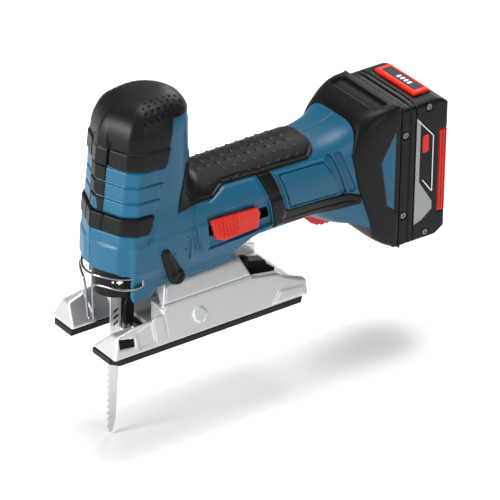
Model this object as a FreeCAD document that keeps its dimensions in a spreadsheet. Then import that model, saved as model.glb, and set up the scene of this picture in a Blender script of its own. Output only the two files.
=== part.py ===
import FreeCAD, Part
import os
import math
from FreeCAD import Vector

doc = FreeCAD.newDocument("cordless_jigsaw")

# ---------------------------------------------------------------- sizes, millimetres
SIZES = [
    ("gap", 0.35),                # clearance between separately moving pieces
    ("shaft_gap", 0.05),          # radial running clearance
    ("air_gap", 0.9),             # radial, armature to magnets
    # sole and plate
    ("plate_len", 170.0), ("plate_wid", 79.0), ("sole_thk", 4.0), ("web_top", 8.0),
    ("rail_top", 14.0), ("rail_in_low", 13.2), ("rail_in_top", 17.0), ("rail_out_top", 29.5),
    ("rail_out_low", 37.0), ("slot_half", 13.0), ("slot_end", -41.0), ("front_low", -84.0),
    ("front_top", -74.5),
    # saddle: an arch concentric with the bevel axis at sole height
    ("arch_rad", 46.0), ("arch_in", 42.0), ("saddle_x0", -37.5), ("saddle_x1", 30.0),
    ("cheek_top_y", 22.0), ("cheek_low_y", 30.0), ("cheek_low_z", 27.0),
    # head
    ("head_front_low", -82.0), ("head_front_mid", -74.5), ("head_front_top", -69.0),
    ("head_rear", -8.0), ("head_half", 31.0), ("chin_z", 62.0), ("band_z0", 92.0),
    ("band_z1", 105.0), ("cap_z0", 140.0), ("cap_z1", 154.0), ("cap_top", 184.5),
    ("wall", 3.0), ("rubber", 1.6),
    # barrel
    ("barrel_z", 80.0), ("barrel_half", 31.0), ("barrel_x1", 108.0), ("skirt_half", 27.0),
    ("skirt_x0", -60.0), ("skirt_x1", 34.0),
    # rear flare and foot
    ("foot_x0", 132.0), ("foot_x1", 160.5), ("foot_half", 34.0), ("foot_top", 125.0),
    ("foot_bot", 14.5), ("shoe_x1", 164.8),
    # battery
    ("batt_x0", 165.2), ("batt_x1", 207.0), ("batt_half", 34.6), ("batt_bot", 13.0),
    ("batt_top", 125.5), ("batt_wall", 1.3), ("cell_rad", 9.0), ("cell_len", 65.0),
    ("cell_pitch", 19.7), ("batt_cham_x", 7.5), ("batt_cham_z", 8.5),
    # drive
    ("motor_rad", 22.0), ("motor_x0", 15.0), ("motor_x1", 70.0), ("shaft_rad", 2.5),
    ("gear_mod", 1.0), ("gear_teeth", 42.0), ("pinion_teeth", 10.0), ("gear_x0", -28.0),
    ("gear_x1", -20.0), ("case_x0", -16.5), ("case_x1", -12.6), ("crank_rad", 13.0), ("crank_pin_rad", 3.0), ("axle_rad", 4.0),
    ("rod_x", -55.0), ("rod_rad", 5.0), ("bush_out", 8.0), ("bush_len", 10.0),
    ("bush_low_z", 64.8), ("bush_up_z", 130.0), ("rod_z0", 46.0), ("rod_z1", 150.0),
    ("yoke_x0", -44.0), ("yoke_x1", -38.0), ("yoke_half_z", 7.0),
    # blade and holder
    ("blade_thk", 1.5), ("blade_low", -80.0), ("holder_rad", 6.0), ("holder_z0", 40.0),
    ("holder_z1", 50.5), ("tooth_pitch", 5.2), ("tooth_depth", 2.4),
    # blade release ring
    ("ring_out", 17.5), ("ring_thk", 2.6), ("ring_z0", 38.0), ("ring_z1", 59.0),
    # guide
    ("roller_rad", 4.4), ("roller_z", 5.0), ("roller_wid", 5.0), ("fork_x", -46.5),
    ("fork_z", 51.0), ("fork_pin_rad", 2.0),
    # wire guard
    ("wire_rad", 0.9), ("wire_x0", -79.0), ("wire_x1", -74.0), ("wire_low", 16.0),
    # controls
    ("switch_x0", 0.6), ("switch_x1", 45.7), ("switch_z0", 65.6), ("switch_z1", 86.0),
    ("switch_travel", 6.0), ("wheel_x", 122.5), ("wheel_z", 51.6), ("wheel_rad", 19.6),
    ("wheel_wid", 8.0), ("lever_x", -27.8), ("lever_z", 52.5), ("lever_hub", 6.5),
    ("lever_tip_x", -37.2), ("lever_tip_z", 73.3), ("lever_tip", 3.6), ("lever_face", 35.8),
    ("latch_x0", 183.0), ("latch_x1", 198.0), ("latch_half", 23.5), ("latch_top", 127.5),
    ("pack_seam", 177.6),
    ("screw_rad", 2.9),
]
sheet = doc.addObject("Spreadsheet::Sheet", "Sizes")
for row, (alias, value) in enumerate(SIZES, 1):
    sheet.set("A%d" % row, alias)
    sheet.set("B%d" % row, repr(value))
    sheet.setAlias("B%d" % row, alias)
doc.recompute()
ALIASES = sorted([a for a, _ in SIZES], key=len, reverse=True)


def S(alias):
    return float(sheet.get(alias))


def ex(text):
    """Expression text with every sheet alias qualified by the sheet's name."""
    out, word = "", ""
    for ch in str(text) + " ":
        if ch.isalnum() or ch == "_":
            word += ch
            continue
        out += ("Sizes." + word if word in ALIASES else word) + ch
        word = ""
    return out.strip()


def bind(obj, prop, text):
    obj.setExpression(prop, ex(text))


def box(name, x, y, z):
    b = doc.addObject("Part::Box", name)
    for prop, size, (lo, hi) in (("x", "Length", x), ("y", "Width", y), ("z", "Height", z)):
        bind(b, size, "(%s) - (%s)" % (hi, lo))
        bind(b, "Placement.Base." + prop, "%s" % lo)
    return b


TURN = {"Z": FreeCAD.Rotation(), "X": FreeCAD.Rotation(Vector(0, 1, 0), 90),
        "Y": FreeCAD.Rotation(Vector(1, 0, 0), -90)}


def cyl(name, axis, at, rad, length):
    """Cylinder from the point 'at', running along +axis."""
    c = doc.addObject("Part::Cylinder", name)
    c.Placement = FreeCAD.Placement(Vector(0, 0, 0), TURN[axis])
    bind(c, "Radius", rad)
    bind(c, "Height", length)
    for prop, text in zip("xyz", at):
        bind(c, "Placement.Base." + prop, text)
    return c


def cone(name, axis, at, rad1, rad2, length):
    c = doc.addObject("Part::Cone", name)
    c.Placement = FreeCAD.Placement(Vector(0, 0, 0), TURN[axis])
    bind(c, "Radius1", rad1)
    bind(c, "Radius2", rad2)
    bind(c, "Height", length)
    for prop, text in zip("xyz", at):
        bind(c, "Placement.Base." + prop, text)
    return c


def cut(name, base, *tools):
    tool = tools[0] if len(tools) == 1 else fuse(name + "_tools", *tools)
    c = doc.addObject("Part::Cut", name)
    c.Base, c.Tool = base, tool
    return c


def common(name, a, b):
    c = doc.addObject("Part::Common", name)
    c.Base, c.Tool = a, b
    return c


def fuse(name, *shapes):
    f = doc.addObject("Part::MultiFuse", name)
    f.Shapes = list(shapes)
    return f


PLANES = {"XY": ("XY_Plane", 1), "XZ": ("XZ_Plane", -1), "YZ": ("YZ_Plane", 1)}


def prism(name, plane, pts, lo, hi):
    """PartDesign body: a polygon sketch on an origin plane, padded from lo to hi."""
    body = doc.addObject("PartDesign::Body", name)
    sk = body.newObject("Sketcher::SketchObject", name + "_sketch")
    role, sign = PLANES[plane]
    sk.AttachmentSupport = [(f, "") for f in body.Origin.OriginFeatures if f.Role == role]
    sk.MapMode = "FlatFace"
    bind(sk, "AttachmentOffset.Base.z", lo if sign > 0 else "-(%s)" % hi)
    num = []
    for u, v in pts:
        num.append((calc(u), calc(v)))
    n = len(pts)
    for i in range(n):
        a, b = num[i], num[(i + 1) % n]
        sk.addGeometry(Part.LineSegment(Vector(a[0], a[1], 0), Vector(b[0], b[1], 0)), False)
    import Sketcher
    for i in range(n):
        sk.addConstraint(Sketcher.Constraint("Coincident", i, 2, (i + 1) % n, 1))
    for i, (u, v) in enumerate(pts):
        for kind, text, value in (("DistanceX", u, num[i][0]), ("DistanceY", v, num[i][1])):
            k = sk.addConstraint(Sketcher.Constraint(kind, -1, 1, i, 1, value))
            if any(ch.isalpha() for ch in str(text)):
                bind(sk, "Constraints[%d]" % k, text)
    pad = body.newObject("PartDesign::Pad", name + "_pad")
    pad.Profile = sk
    bind(pad, "Length", "(%s) - (%s)" % (hi, lo))
    body.Tip = pad
    sk.Visibility = False
    return body


def calc(text):
    """Value of a sum, difference or product of sheet aliases and plain numbers."""
    text = str(text)
    try:
        return float(text)
    except ValueError:
        pass
    probe = doc.getObject("Probe") or doc.addObject("App::FeaturePython", "Probe")
    if not hasattr(probe, "Value"):
        probe.addProperty("App::PropertyFloat", "Value")
    return float(probe.evalExpression(ex(text)))


def feature(name, shape):
    f = doc.addObject("Part::Feature", name)
    f.Shape = shape
    f.Placement = FreeCAD.Placement()
    return f


NODES = []


def node(obj, label):
    obj.Label = label
    NODES.append(obj)
    return obj


# ---------------------------------------------------------------- lofted outer forms
def octagon(c, hu, hv, k, k2=None):
    """Rounded-off rectangle about c as a closed list of eight points."""
    k2 = k if k2 is None else k2
    return [(c[0] - hu + k, c[1] - hv), (c[0] + hu - k, c[1] - hv), (c[0] + hu, c[1] - hv + k),
            (c[0] + hu, c[1] + hv - k2), (c[0] + hu - k2, c[1] + hv),
            (c[0] - hu + k2, c[1] + hv), (c[0] - hu, c[1] + hv - k2), (c[0] - hu, c[1] - hv + k)]


def wire(points):
    return Part.makePolygon(points + [points[0]])


def head_form(off):
    """Upright head: sections stacked up Z; 'off' shrinks it all round."""
    half, rear = S("head_half"), S("head_rear")
    rows = [(S("chin_z") + off * 0.6, S("head_front_low"), half - 1.0, 14),
            (S("band_z0"), S("head_front_mid") - 3.0, half, 14),
            (S("band_z1"), S("head_front_mid"), half, 13),
            (S("cap_z1"), S("head_front_top") - 1.0, half - 1.0, 13),
            (S("cap_top") - 18, S("head_front_top") + 1.5, half - 3.5, 13),
            (S("cap_top") - 7, S("head_front_top") + 7, half - 9, 12),
            (S("cap_top") - off, S("head_front_top") + 19, half - 17, 9)]
    rears = [rear, rear, rear, rear + 10, rear + 6, rear - 1, rear - 14]
    out = []
    for (z, front, hv, k), back in zip(rows, rears):
        hu, c = (back - front) / 2.0 - off, (front + back) / 2.0
        hv, k = hv - off, max(k - off * 0.6, 4)
        out.append(wire([Vector(u, v, z) for u, v in octagon((c, 0), hu, hv, k)]))
    return Part.makeLoft(out, True, True)


def barrel_form(off):
    """Horizontal motor barrel and the slimmer neck, sections along X."""
    bz, hv = S("barrel_z"), S("barrel_half")
    out = []
    for x, half, low, high, k in ((S("head_rear") - 30, hv, 49, 111, 15),
                                  (S("barrel_x1"), hv - 0.5, 52, 110, 15)):
        x = x + (off if x < 0 else -off * 0.0)
        out.append(wire([Vector(x, u, v) for u, v in
                         octagon((0, (low + high) / 2.0), half - off, (high - low) / 2.0 - off,
                                 max(k - off * 0.5, 5))]))
    return Part.makeLoft(out, True, True)


def flare_form(off):
    """Widening rear grip that ends in the flat battery foot."""
    rows = [(S("barrel_x1") - 4, 30.3, 51, 109.5, 15), (112, 30.3, 42.5, 109.5, 14),
            (124, 30.8, 36.5, 110, 14),
            (S("foot_x0"), 32.2, 35, 118, 12), (140, 33.2, 32, S("foot_top") - 1.5, 10),
            (S("foot_x1") - 7, S("foot_half"), 20, S("foot_top"), 8),
            (S("foot_x1"), S("foot_half"), S("foot_bot"), S("foot_top"), 8)]
    out = []
    for i, (x, half, low, high, k) in enumerate(rows):
        out.append(wire([Vector(x, u, v) for u, v in
                         octagon((0, (low + high) / 2.0), half - off, (high - low) / 2.0 - off,
                                 max(k - off * 0.5, 4))]))
    return Part.makeLoft(out, True, True)


def skirt_form(off):
    """Blue skirt that straddles the saddle arch below the barrel."""
    x0, x1, hy = S("skirt_x0") + off, S("skirt_x1") - off, S("skirt_half") - off
    low = 34.0 + off * 0.3
    pts = [(-hy - 2.5, 66), (-hy, 60), (-hy, low + 5), (-hy + 3, low), (hy - 3, low),
           (hy, low + 5), (hy, 60), (hy + 2.5, 66)]
    solid = Part.Face(wire([Vector(x0, u, v) for u, v in pts])).extrude(Vector(x1 - x0, 0, 0))
    arch = Part.makeCylinder(S("arch_rad") + S("gap") + off, 400, Vector(-200, 0, 0),
                             Vector(1, 0, 0))
    ramp = Part.makeBox(60, 100, 60, Vector(x1 - 2, -50, 0))
    ramp.rotate(Vector(x1 - 2, 0, 34), Vector(0, 1, 0), 30)
    bay = Part.makeBox(24, 2 * (hy - 3), 60,
                       Vector(-62, 3 - hy, S("chin_z") + 0.4 - 60))
    return solid.cut(arch).cut(ramp).cut(bay)


def slab(x0, x1, y0, y1, z0, z1):
    return Part.makeBox(x1 - x0, y1 - y0, z1 - z0, Vector(x0, y0, z0))


def rod_x(rad, x0, x1, y, z):
    return Part.makeCylinder(rad, x1 - x0, Vector(x0, y, z), Vector(1, 0, 0))


def rod_y(rad, y0, y1, x, z):
    return Part.makeCylinder(rad, y1 - y0, Vector(x, y0, z), Vector(0, 1, 0))


def rod_z(rad, z0, z1, x, y):
    return Part.makeCylinder(rad, z1 - z0, Vector(x, y, z0), Vector(0, 0, 1))


def fused(shapes):
    out = shapes[0].fuse(shapes[1:])
    return out.removeSplitter()


def wire_tube(points, rad):
    """Round wire along straight runs joined by tangent arcs."""
    corners, n = [], len(points)
    for i in range(1, n - 1):
        a, p, b = points[i - 1], points[i], points[i + 1]
        u, v = (a - p), (b - p)
        short = 0.45 * min(u.Length, v.Length)
        u.normalize()
        v.normalize()
        half = math.acos(max(-1.0, min(1.0, u.dot(v)))) / 2
        r = short * math.tan(half)
        mid = u + v
        mid.normalize()
        corners.append((p + u * short, p + mid * (r / math.sin(half) - r), p + v * short))
    edges, last = [], points[0]
    for p0, pm, p1 in corners:
        edges.append(Part.LineSegment(last, p0).toShape())
        edges.append(Part.Arc(p0, pm, p1).toShape())
        last = p1
    edges.append(Part.LineSegment(last, points[-1]).toShape())
    way = points[1] - points[0]
    ring = Part.Wire([Part.makeCircle(rad, points[0], way)])
    return Part.Wire(edges).makePipeShell([ring], True, False)


WALL, RUB = S("wall"), S("rubber")
head_out, head_mid, head_in = head_form(0), head_form(RUB), head_form(WALL + RUB * 0.4)
barrel_out, barrel_mid, barrel_in = barrel_form(0), barrel_form(RUB), barrel_form(WALL)
flare_out, flare_mid, flare_in = flare_form(0), flare_form(RUB), flare_form(WALL)
skirt_out = skirt_form(0)
whole = fused([head_out, barrel_out, flare_out, skirt_out])
core = fused([head_mid, barrel_mid, flare_mid])
hollow = fused([head_in, barrel_in, flare_in])

# rubber regions: dome cap with its fingers, two bands, top grip, rear foot overmould
cap_zone = slab(-120, 60, -60, 60, S("cap_z1"), 220)
front_zone = fused([
    slab(-120, -45, -60, 60, S("cap_z0"), S("cap_z1") + 1),
    slab(-120, -38, -60, 60, S("band_z0"), S("band_z1")),
    slab(-120, -60, -8.5, 8.5, S("band_z0"), S("cap_z1"))])
grip_zone = slab(S("head_rear") + 2, S("barrel_x1") - 4, -60, 60, 99, 130)
foot_zone = slab(S("foot_x0"), 200, -60, 60, 0, 200).cut(
    fused([slab(151, 170, 30, 60, 50, 110), slab(151, 170, -60, -30, 50, 110)]))
skin = whole.cut(core)
cap_skin = head_out.cut(head_in).common(cap_zone)
head_shell_zone = slab(-200, 200, -60, 60, 0, S("cap_z1"))


def solids_of(shape, least=60.0):
    kept = [s for s in shape.Solids if s.Volume > least]
    return kept[0] if len(kept) == 1 else Part.makeCompound(kept)


front_rubber = solids_of(head_out.cut(head_mid).common(front_zone).common(head_shell_zone))
grip_rubber = solids_of(barrel_out.cut(barrel_mid).cut(head_out).common(grip_zone))
foot_rubber = solids_of(flare_out.cut(flare_mid).common(foot_zone))

# openings in the shell
arch_space = rod_x(S("arch_rad") + S("gap"), -200, 200, 0, 0)
chin = fused([rod_z(12.5, 30, 63.5 + 8, S("rod_x"), 0),
              slab(-56, -38.5, -11, 11, 30, 72)])
wheel_slot = slab(S("wheel_x") - S("wheel_rad") - 1.2, S("wheel_x") + S("wheel_rad") + 1.2,
                  -S("wheel_wid") / 2 - 0.8, S("wheel_wid") / 2 + 0.8, 25,
                  S("wheel_z") + 9)
switch_cut = fused([
    slab(S("switch_x0") - 0.8, S("switch_x1") + S("switch_travel") + 1.5, side * 45 - 16.4,
         side * 45 + 16.4, S("switch_z0") - 0.8, S("switch_z1") + 1.2) for side in (-1, 1)]
    + [slab(16, 40 + S("switch_travel"), -50, 50, 72, 80)])
lever_hole = rod_y(3.05, -60, -20, S("lever_x"), S("lever_z"))
rear_open = slab(150, 180, -24, 24, 40, 108)
openings = fused([chin, wheel_slot, lever_hole, rear_open, arch_space])
shell = whole.cut(fused([hollow, openings]))
foot_rubber = foot_rubber.cut(wheel_slot)
shell = shell.cut(fused([front_rubber, grip_rubber, foot_rubber, switch_cut, cap_zone]))
left = shell.common(slab(-200, 250, -80, 0, -20, 220))
right = shell.common(slab(-200, 250, 0, 80, -20, 220))
node(feature("HousingLeft", solids_of(left)), "housing_left")
node(feature("HousingRight", solids_of(right)), "housing_right")
node(feature("KnobCap", solids_of(cap_skin)), "knob_cap")
node(feature("FrontRubber", front_rubber), "front_grip_rubber")
node(feature("TopRubber", grip_rubber), "top_grip_rubber")
node(feature("FootRubber", foot_rubber), "foot_overmould")

# ---------------------------------------------------------------- base plate assembly
HALF = "plate_wid / 2"


def outline():
    """Shoe outline seen from above: two front prongs and chamfered rear corners."""
    f, w = "front_low", HALF
    r = "plate_len / 2"
    return [(f, "-(%s) + 6" % w), ("%s + 5" % f, "-(%s)" % w), ("%s - 9" % r, "-(%s)" % w),
            (r, "-(%s) + 10" % w), (r, "%s - 10" % w), ("%s - 9" % r, w),
            ("%s + 5" % f, w), (f, "%s - 6" % w), (f, "slot_half"), ("slot_end", "slot_half"),
            ("slot_end", "-slot_half"), (f, "-slot_half")]


sole = prism("SolePlate", "XY", outline(), "0", "sole_thk")
node(sole, "sole_plate")


def rail(name, side):
    pts = [("rail_in_low", "web_top"), ("rail_in_top", "rail_top"),
           ("rail_out_top", "rail_top"), ("rail_out_low", "web_top"), (HALF, "sole_thk"),
           ("rail_in_low", "sole_thk")]
    if side < 0:
        pts = [("-(%s)" % u, v) for u, v in reversed(pts)]
    body = prism(name, "YZ", pts, "front_low", "plate_len / 2")
    inner = [("%d * (rail_in_low - 0.6)" % side, "sole_thk + 0.8"),
             ("%d * (rail_in_top + 3.5)" % side, "rail_top"),
             ("%d * (rail_in_top + 3.5)" % side, "rail_top + 1"),
             ("%d * (rail_in_low - 2)" % side, "rail_top + 1"),
             ("%d * (rail_in_low - 2)" % side, "sole_thk + 0.8")][::side]
    tips = [prism(name + "_inner", "YZ", inner, "front_low - 1", "-68"),
            prism(name + "_nose", "XZ", [("front_low - 1", "sole_thk"), ("front_top", "rail_top"),
                                         ("front_top", "rail_top + 2"), ("front_low - 1",
                                                                        "rail_top + 2")],
                  "-60", "60"),
            prism(name + "_heel", "XZ", [("plate_len / 2 + 1", "sole_thk"),
                                         ("plate_len / 2 - 8", "rail_top"),
                                         ("plate_len / 2 - 8", "rail_top + 2"),
                                         ("plate_len / 2 + 1", "rail_top + 2")], "-60", "60")]
    return cut(name + "_cut", body, *tips)


web = box("PlateWeb", ("slot_end", "plate_len / 2 - 4"), ("-rail_in_top", "rail_in_top"),
          ("sole_thk", "web_top"))
pockets = []
for side in (-1, 1):
    a, b = ("-36.6", "-31") if side < 0 else ("31", "36.6")
    pockets.append(box("PlatePocket", ("-75", "-62"), (a, b), ("6", "20")))
corner = fuse("PlateCorners", *[
    prism("PlateCorner", "XY", [("plate_len / 2 - 9", "%d * (%s)" % (q, HALF)),
                                ("plate_len / 2 + 3", "%d * (%s)" % (q, HALF)),
                                ("plate_len / 2 + 3", "%d * (%s - 13)" % (q, HALF))]
          [::q], "-2", "30") for q in (-1, 1)])
plate_raw = fuse("PlateRaw", rail("RailLeft", -1), rail("RailRight", 1), web)
bolt_holes = [cyl("PlateHole", "Z", (str(x), str(y), "sole_thk - 1"), "2.1", "8")
              for x in (-30, 22) for y in (-9, 9)]
node(cut("BasePlate", plate_raw, corner, *(pockets + bolt_holes)), "base_plate")

saddle_poly = [("-cheek_low_y - 2.5", "rail_top"), ("-cheek_low_y", "cheek_low_z"),
               ("-cheek_top_y", "arch_rad * 0.8782"), ("-10", "arch_rad * 0.99"),
               ("10", "arch_rad * 0.99"), ("cheek_top_y", "arch_rad * 0.8782"),
               ("cheek_low_y", "cheek_low_z"), ("cheek_low_y + 2.5", "rail_top")]
saddle_block = prism("SaddleBlock", "YZ", saddle_poly, "saddle_x0 - 6", "saddle_x1 + 7")
saddle_round = cyl("SaddleRound", "X", ("saddle_x0 - 8", "0", "0"), "arch_rad", "90")
saddle_bore = cyl("SaddleBore", "X", ("saddle_x0 - 8", "0", "0"), "arch_in", "90")
saddle_cave = box("SaddleCave", ("saddle_x0 - 8", "saddle_x1 + 10"),
                  ("-cheek_low_y + 4", "cheek_low_y - 4"), ("rail_top - 1", "cheek_low_z + 2"))
bore_low = common("SaddleBoreLow", saddle_bore,
                  box("SaddleBoreZone", ("saddle_x0 - 8", "saddle_x1 + 10"),
                      ("-cheek_top_y + 2.5", "cheek_top_y - 2.5"), ("rail_top - 1", "60")))
wedge_front = prism("SaddleWedgeFront", "XZ", [("saddle_x0 - 9", "10"), ("saddle_x0 - 6", "10"),
                                               ("saddle_x0 - 6", "cheek_low_z"),
                                               ("saddle_x0", "arch_rad * 0.8782"),
                                               ("saddle_x0", "60"), ("saddle_x0 - 9", "60")],
                    "-60", "60")
wedge_rear = prism("SaddleWedgeRear", "XZ", [("saddle_x1 + 10", "60"), ("saddle_x1", "60"),
                                             ("saddle_x1", "arch_rad * 0.8782"),
                                             ("saddle_x1 + 7", "cheek_low_z"),
                                             ("saddle_x1 + 7", "10"), ("saddle_x1 + 10", "10")],
                   "-60", "60")
saddle_skin = common("SaddleSkin", saddle_block, saddle_round)
front_bay = box("SaddleFrontBay", ("saddle_x0 - 9", "saddle_x0"), ("-24", "24"), ("10", "60"))
node(cut("Saddle", saddle_skin, saddle_cave, bore_low, wedge_front, wedge_rear, front_bay),
     "saddle")
screws = []
for x in (-34, 26):
    for side in (-1, 1):
        y = "%d * 22.6" % side
        shank = cyl("SaddleScrewHead", "Z", (str(x), y, "rail_top"), "2.4", "2.2")
        socket = cyl("SaddleScrewSocket", "Z", (str(x), y, "rail_top + 1"), "1.2", "2")
        screws.append(cut("SaddleScrew", shank, socket))
node(fuse("SaddleScrews", *screws), "saddle_screws")

lever_arm = prism("ClampArm", "XZ", [("40", "rail_top + 0.4"), ("49", "rail_top + 0.4"),
                                     ("68", "rail_top + 3"), ("69", "rail_top + 6"),
                                     ("62", "25"), ("60", "29"), ("43", "33"), ("39", "30")],
                  "-17", "-9")
lever_hub = cyl("ClampHub", "Z", ("43", "-13", "rail_top + 0.4"), "4.6", "33.6 - rail_top")
lever_eye = cyl("ClampEye", "Z", ("43", "-13", "30"), "2.2", "8")
node(cut("ClampLever", fuse("ClampLeverRaw", lever_arm, lever_hub), lever_eye),
     "bevel_clamp_lever")

# ---------------------------------------------------------------- drive line
motor_can = cut("MotorCanCut", cyl("MotorCan", "X", ("motor_x0", "0", "barrel_z"), "motor_rad",
                                   "motor_x1 - motor_x0"),
                cyl("MotorVoid", "X", ("motor_x0 + 2", "0", "barrel_z"), "motor_rad - 1.8",
                    "motor_x1 - motor_x0"),
                cyl("MotorEye", "X", ("motor_x0 - 1", "0", "barrel_z"), "5.5", "10"))
node(motor_can, "motor_can")
magnets = []
ring_m = cut("MagnetRing", cyl("MagnetOut", "X", ("motor_x0 + 5", "0", "barrel_z"),
                               "motor_rad - 1.85", "34"),
             cyl("MagnetIn", "X", ("motor_x0 + 4", "0", "barrel_z"), "motor_rad - 6.5", "36"))
gap_m = box("MagnetGap", ("motor_x0", "motor_x1"), ("-4", "4"), ("barrel_z - 30", "barrel_z + 30"))
node(cut("Magnets", ring_m, gap_m), "motor_magnets")
end_bell = cut("EndBellCut", cyl("EndBell", "X", ("motor_x1", "0", "barrel_z"), "motor_rad", "6"),
               cyl("EndBellEye", "X", ("motor_x1 - 1", "0", "barrel_z"), "5.5", "10"))
node(end_bell, "motor_end_bell")
bearings = []
for x in ("motor_x0 - 0", "motor_x1 + 1"):
    outer = cyl("BearingOut", "X", (x, "0", "barrel_z"), "5.5", "4")
    inner = cyl("BearingIn", "X", ("%s - 1" % x, "0", "barrel_z"), "shaft_rad + shaft_gap", "6")
    bearings.append(cut("Bearing", outer, inner))
node(fuse("MotorBearings", *bearings), "motor_bearings")
brushes = [box("Brush", ("60", "66"), ("-2.5", "2.5"),
               ("barrel_z + %d * 6.4 - %s" % (q, "0" if q > 0 else "8"),
                "barrel_z + %d * 6.4 + %s" % (q, "8" if q > 0 else "0"))) for q in (-1, 1)]
node(fuse("MotorBrushes", *brushes), "motor_brushes")

# rotor: shaft, wound core, commutator
shaft = cyl("RotorShaft", "X", ("gear_x0 - 1", "0", "barrel_z"), "shaft_rad", "107")
node(shaft, "rotor_shaft")
core_r = cut("ArmatureCut", cyl("Armature", "X", ("24", "0", "barrel_z"),
                             "motor_rad - 6.5 - air_gap", "28"),
             cyl("ArmatureBore", "X", ("20", "0", "barrel_z"), "shaft_rad", "40"))
slots = []
for i in range(5):
    slots.append(cyl("ArmatureSlotRound", "X", (
        "20", "%.6f * (motor_rad - 7.6)" % math.sin(math.radians(72 * i)),
        "barrel_z + %.6f * (motor_rad - 7.6)" % math.cos(math.radians(72 * i))), "2", "40"))
node(cut("ArmatureCore", core_r, *slots), "armature")
comm = cut("CommutatorCut", cyl("Commutator", "X", ("57", "0", "barrel_z"), "6", "10"),
           cyl("CommutatorBore", "X", ("56", "0", "barrel_z"), "shaft_rad", "14"))
node(comm, "commutator")


def spur(teeth, mod, x0, x1, y, z, phase, bore):
    """Straight-flanked spur gear about +X; 'phase' is a tooth's angle from +Z in degrees."""
    pitch, tip, root = teeth * mod / 2, teeth * mod / 2 + 0.8 * mod, teeth * mod / 2 - 1.15 * mod
    pts = []
    step = 360.0 / teeth
    for i in range(int(teeth)):
        for frac, rad in ((-0.30, root), (-0.10, tip), (0.10, tip), (0.30, root)):
            a = math.radians(phase + step * (i + frac))
            pts.append(Vector(x0, y + rad * math.sin(a), z + rad * math.cos(a)))
    solid = Part.Face(wire(pts)).extrude(Vector(x1 - x0, 0, 0))
    return solid.cut(rod_x(bore, x0 - 1, x1 + 1, y, z))


mod, gt, pt = S("gear_mod"), S("gear_teeth"), S("pinion_teeth")
gear_z = S("barrel_z") + mod * (gt + pt) / 2
gx0, gx1 = S("gear_x0"), S("gear_x1")
pinion = spur(pt, mod, gx0 - 0.5, gx1 + 0.5, 0, S("barrel_z"), 180.0 / pt, S("shaft_rad"))
node(feature("Pinion", pinion), "motor_pinion")
gear = spur(gt, mod, gx0, gx1, 0, gear_z, 180.0, S("axle_rad") + S("shaft_gap"))
holes = [rod_x(3.2, gx0 - 1, gx1 + 1, 11.5 * math.sin(math.radians(a)),
               gear_z + 11.5 * math.cos(math.radians(a))) for a in (0, 180, 235, 305)]
gear = gear.cut(fused(holes[1:]))
node(feature("DriveGear", gear), "drive_gear")
crank = rod_x(S("crank_pin_rad"), S("yoke_x1") + 0.5, gx0, S("crank_rad"), gear_z)
node(feature("CrankPin", crank), "crank_pin")
weight = rod_x(19, gx0 - 3.5, gx0, 0, gear_z).cut(slab(-60, 0, -6, 60, 0, 200))
node(feature("CounterWeight", weight), "counterweight")

axle = cyl("GearAxle", "X", ("gear_x0 - 0.2", "0", "barrel_z + gear_mod * 26"), "axle_rad",
           "case_x1 - gear_x0 + 0.2")
node(axle, "gear_axle")
GZ = "barrel_z + gear_mod * 26"
wall_p = fuse("CasePlate", box("CasePlateLow", ("case_x0", "case_x1"), ("-21", "21"),
                               ("bush_low_z", "99.5")),
              box("CasePlateHigh", ("case_x0", "case_x1"), ("-14.5", "14.5"),
                  ("99", "bush_up_z + bush_len")))
arm_low = box("CaseArmLow", ("rod_x - 9", "case_x1"), ("-11", "11"), ("bush_low_z", "bush_low_z + 9.2"))
arm_up = box("CaseArmUp", ("rod_x - 9", "case_x1"), ("-11", "11"), ("bush_up_z", "bush_up_z + bush_len"))
leg = box("CaseLeg", ("-48.5", "-39"), ("-5.5", "5.5"), ("fork_z - 5", "bush_low_z + 1"))
case = fuse("CaseRaw", wall_p, arm_low, arm_up, leg)
case_cuts = [cyl("CaseBushHole", "Z", ("rod_x", "0", "bush_low_z - 1"), "bush_out", "90"),
             cyl("CaseShaftEye", "X", ("case_x0 - 1", "0", "barrel_z"), "6.6", "8"),
             cyl("CaseAxleEye", "X", ("case_x0 - 1", "0", GZ), "axle_rad", "8"),
             cyl("CasePivotEye", "Y", ("fork_x", "-8", "fork_z"), "fork_pin_rad + shaft_gap",
                 "16"),
             box("CaseLegClear", ("-60", "-30"), ("-20", "20"), ("20", "fork_z - 4.9"))]
node(cut("GearCase", case, *case_cuts), "gear_case")
for nm, z0 in (("Low", "bush_low_z"), ("Up", "bush_up_z")):
    tube = cut("Bush" + nm + "Cut", cyl("Bush" + nm, "Z", ("rod_x", "0", z0), "bush_out",
                                        "9.2" if nm == "Low" else "bush_len"),
               cyl("Bush" + nm + "Bore", "Z", ("rod_x", "0", z0 + " - 1"),
                   "rod_rad + shaft_gap", "20"))
    node(tube, "plunger_bush_" + ("lower" if nm == "Low" else "upper"))

# plunger: rod, slotted yoke, blade holder and blade
rod = cut("PlungerRodCut", cyl("PlungerRod", "Z", ("rod_x", "0", "holder_z1"), "rod_rad",
                               "rod_z1 - holder_z1"),
          cyl("PlungerRodTip", "Z", ("rod_x", "0", "rod_z1 - 12"), "rod_rad - 2", "14"))
node(rod, "plunger_rod")
yoke_raw = fuse("YokeRaw", box("YokeFace", ("yoke_x0", "yoke_x1"), ("-19.5", "19.5"),
                               (GZ + " - yoke_half_z", GZ + " + yoke_half_z")),
                cyl("YokeHub", "Z", ("rod_x", "0", GZ + " - yoke_half_z"), "8.5",
                    "2 * yoke_half_z"),
                box("YokeNeck", ("rod_x", "yoke_x0"), ("-6", "6"),
                    (GZ + " - yoke_half_z", GZ + " + yoke_half_z")))
yoke_slot = box("YokeSlot", ("yoke_x0 - 1", "yoke_x1 + 1"), ("-16.3", "16.3"),
                (GZ + " - crank_pin_rad - 0.1", GZ + " + crank_pin_rad + 0.1"))
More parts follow.
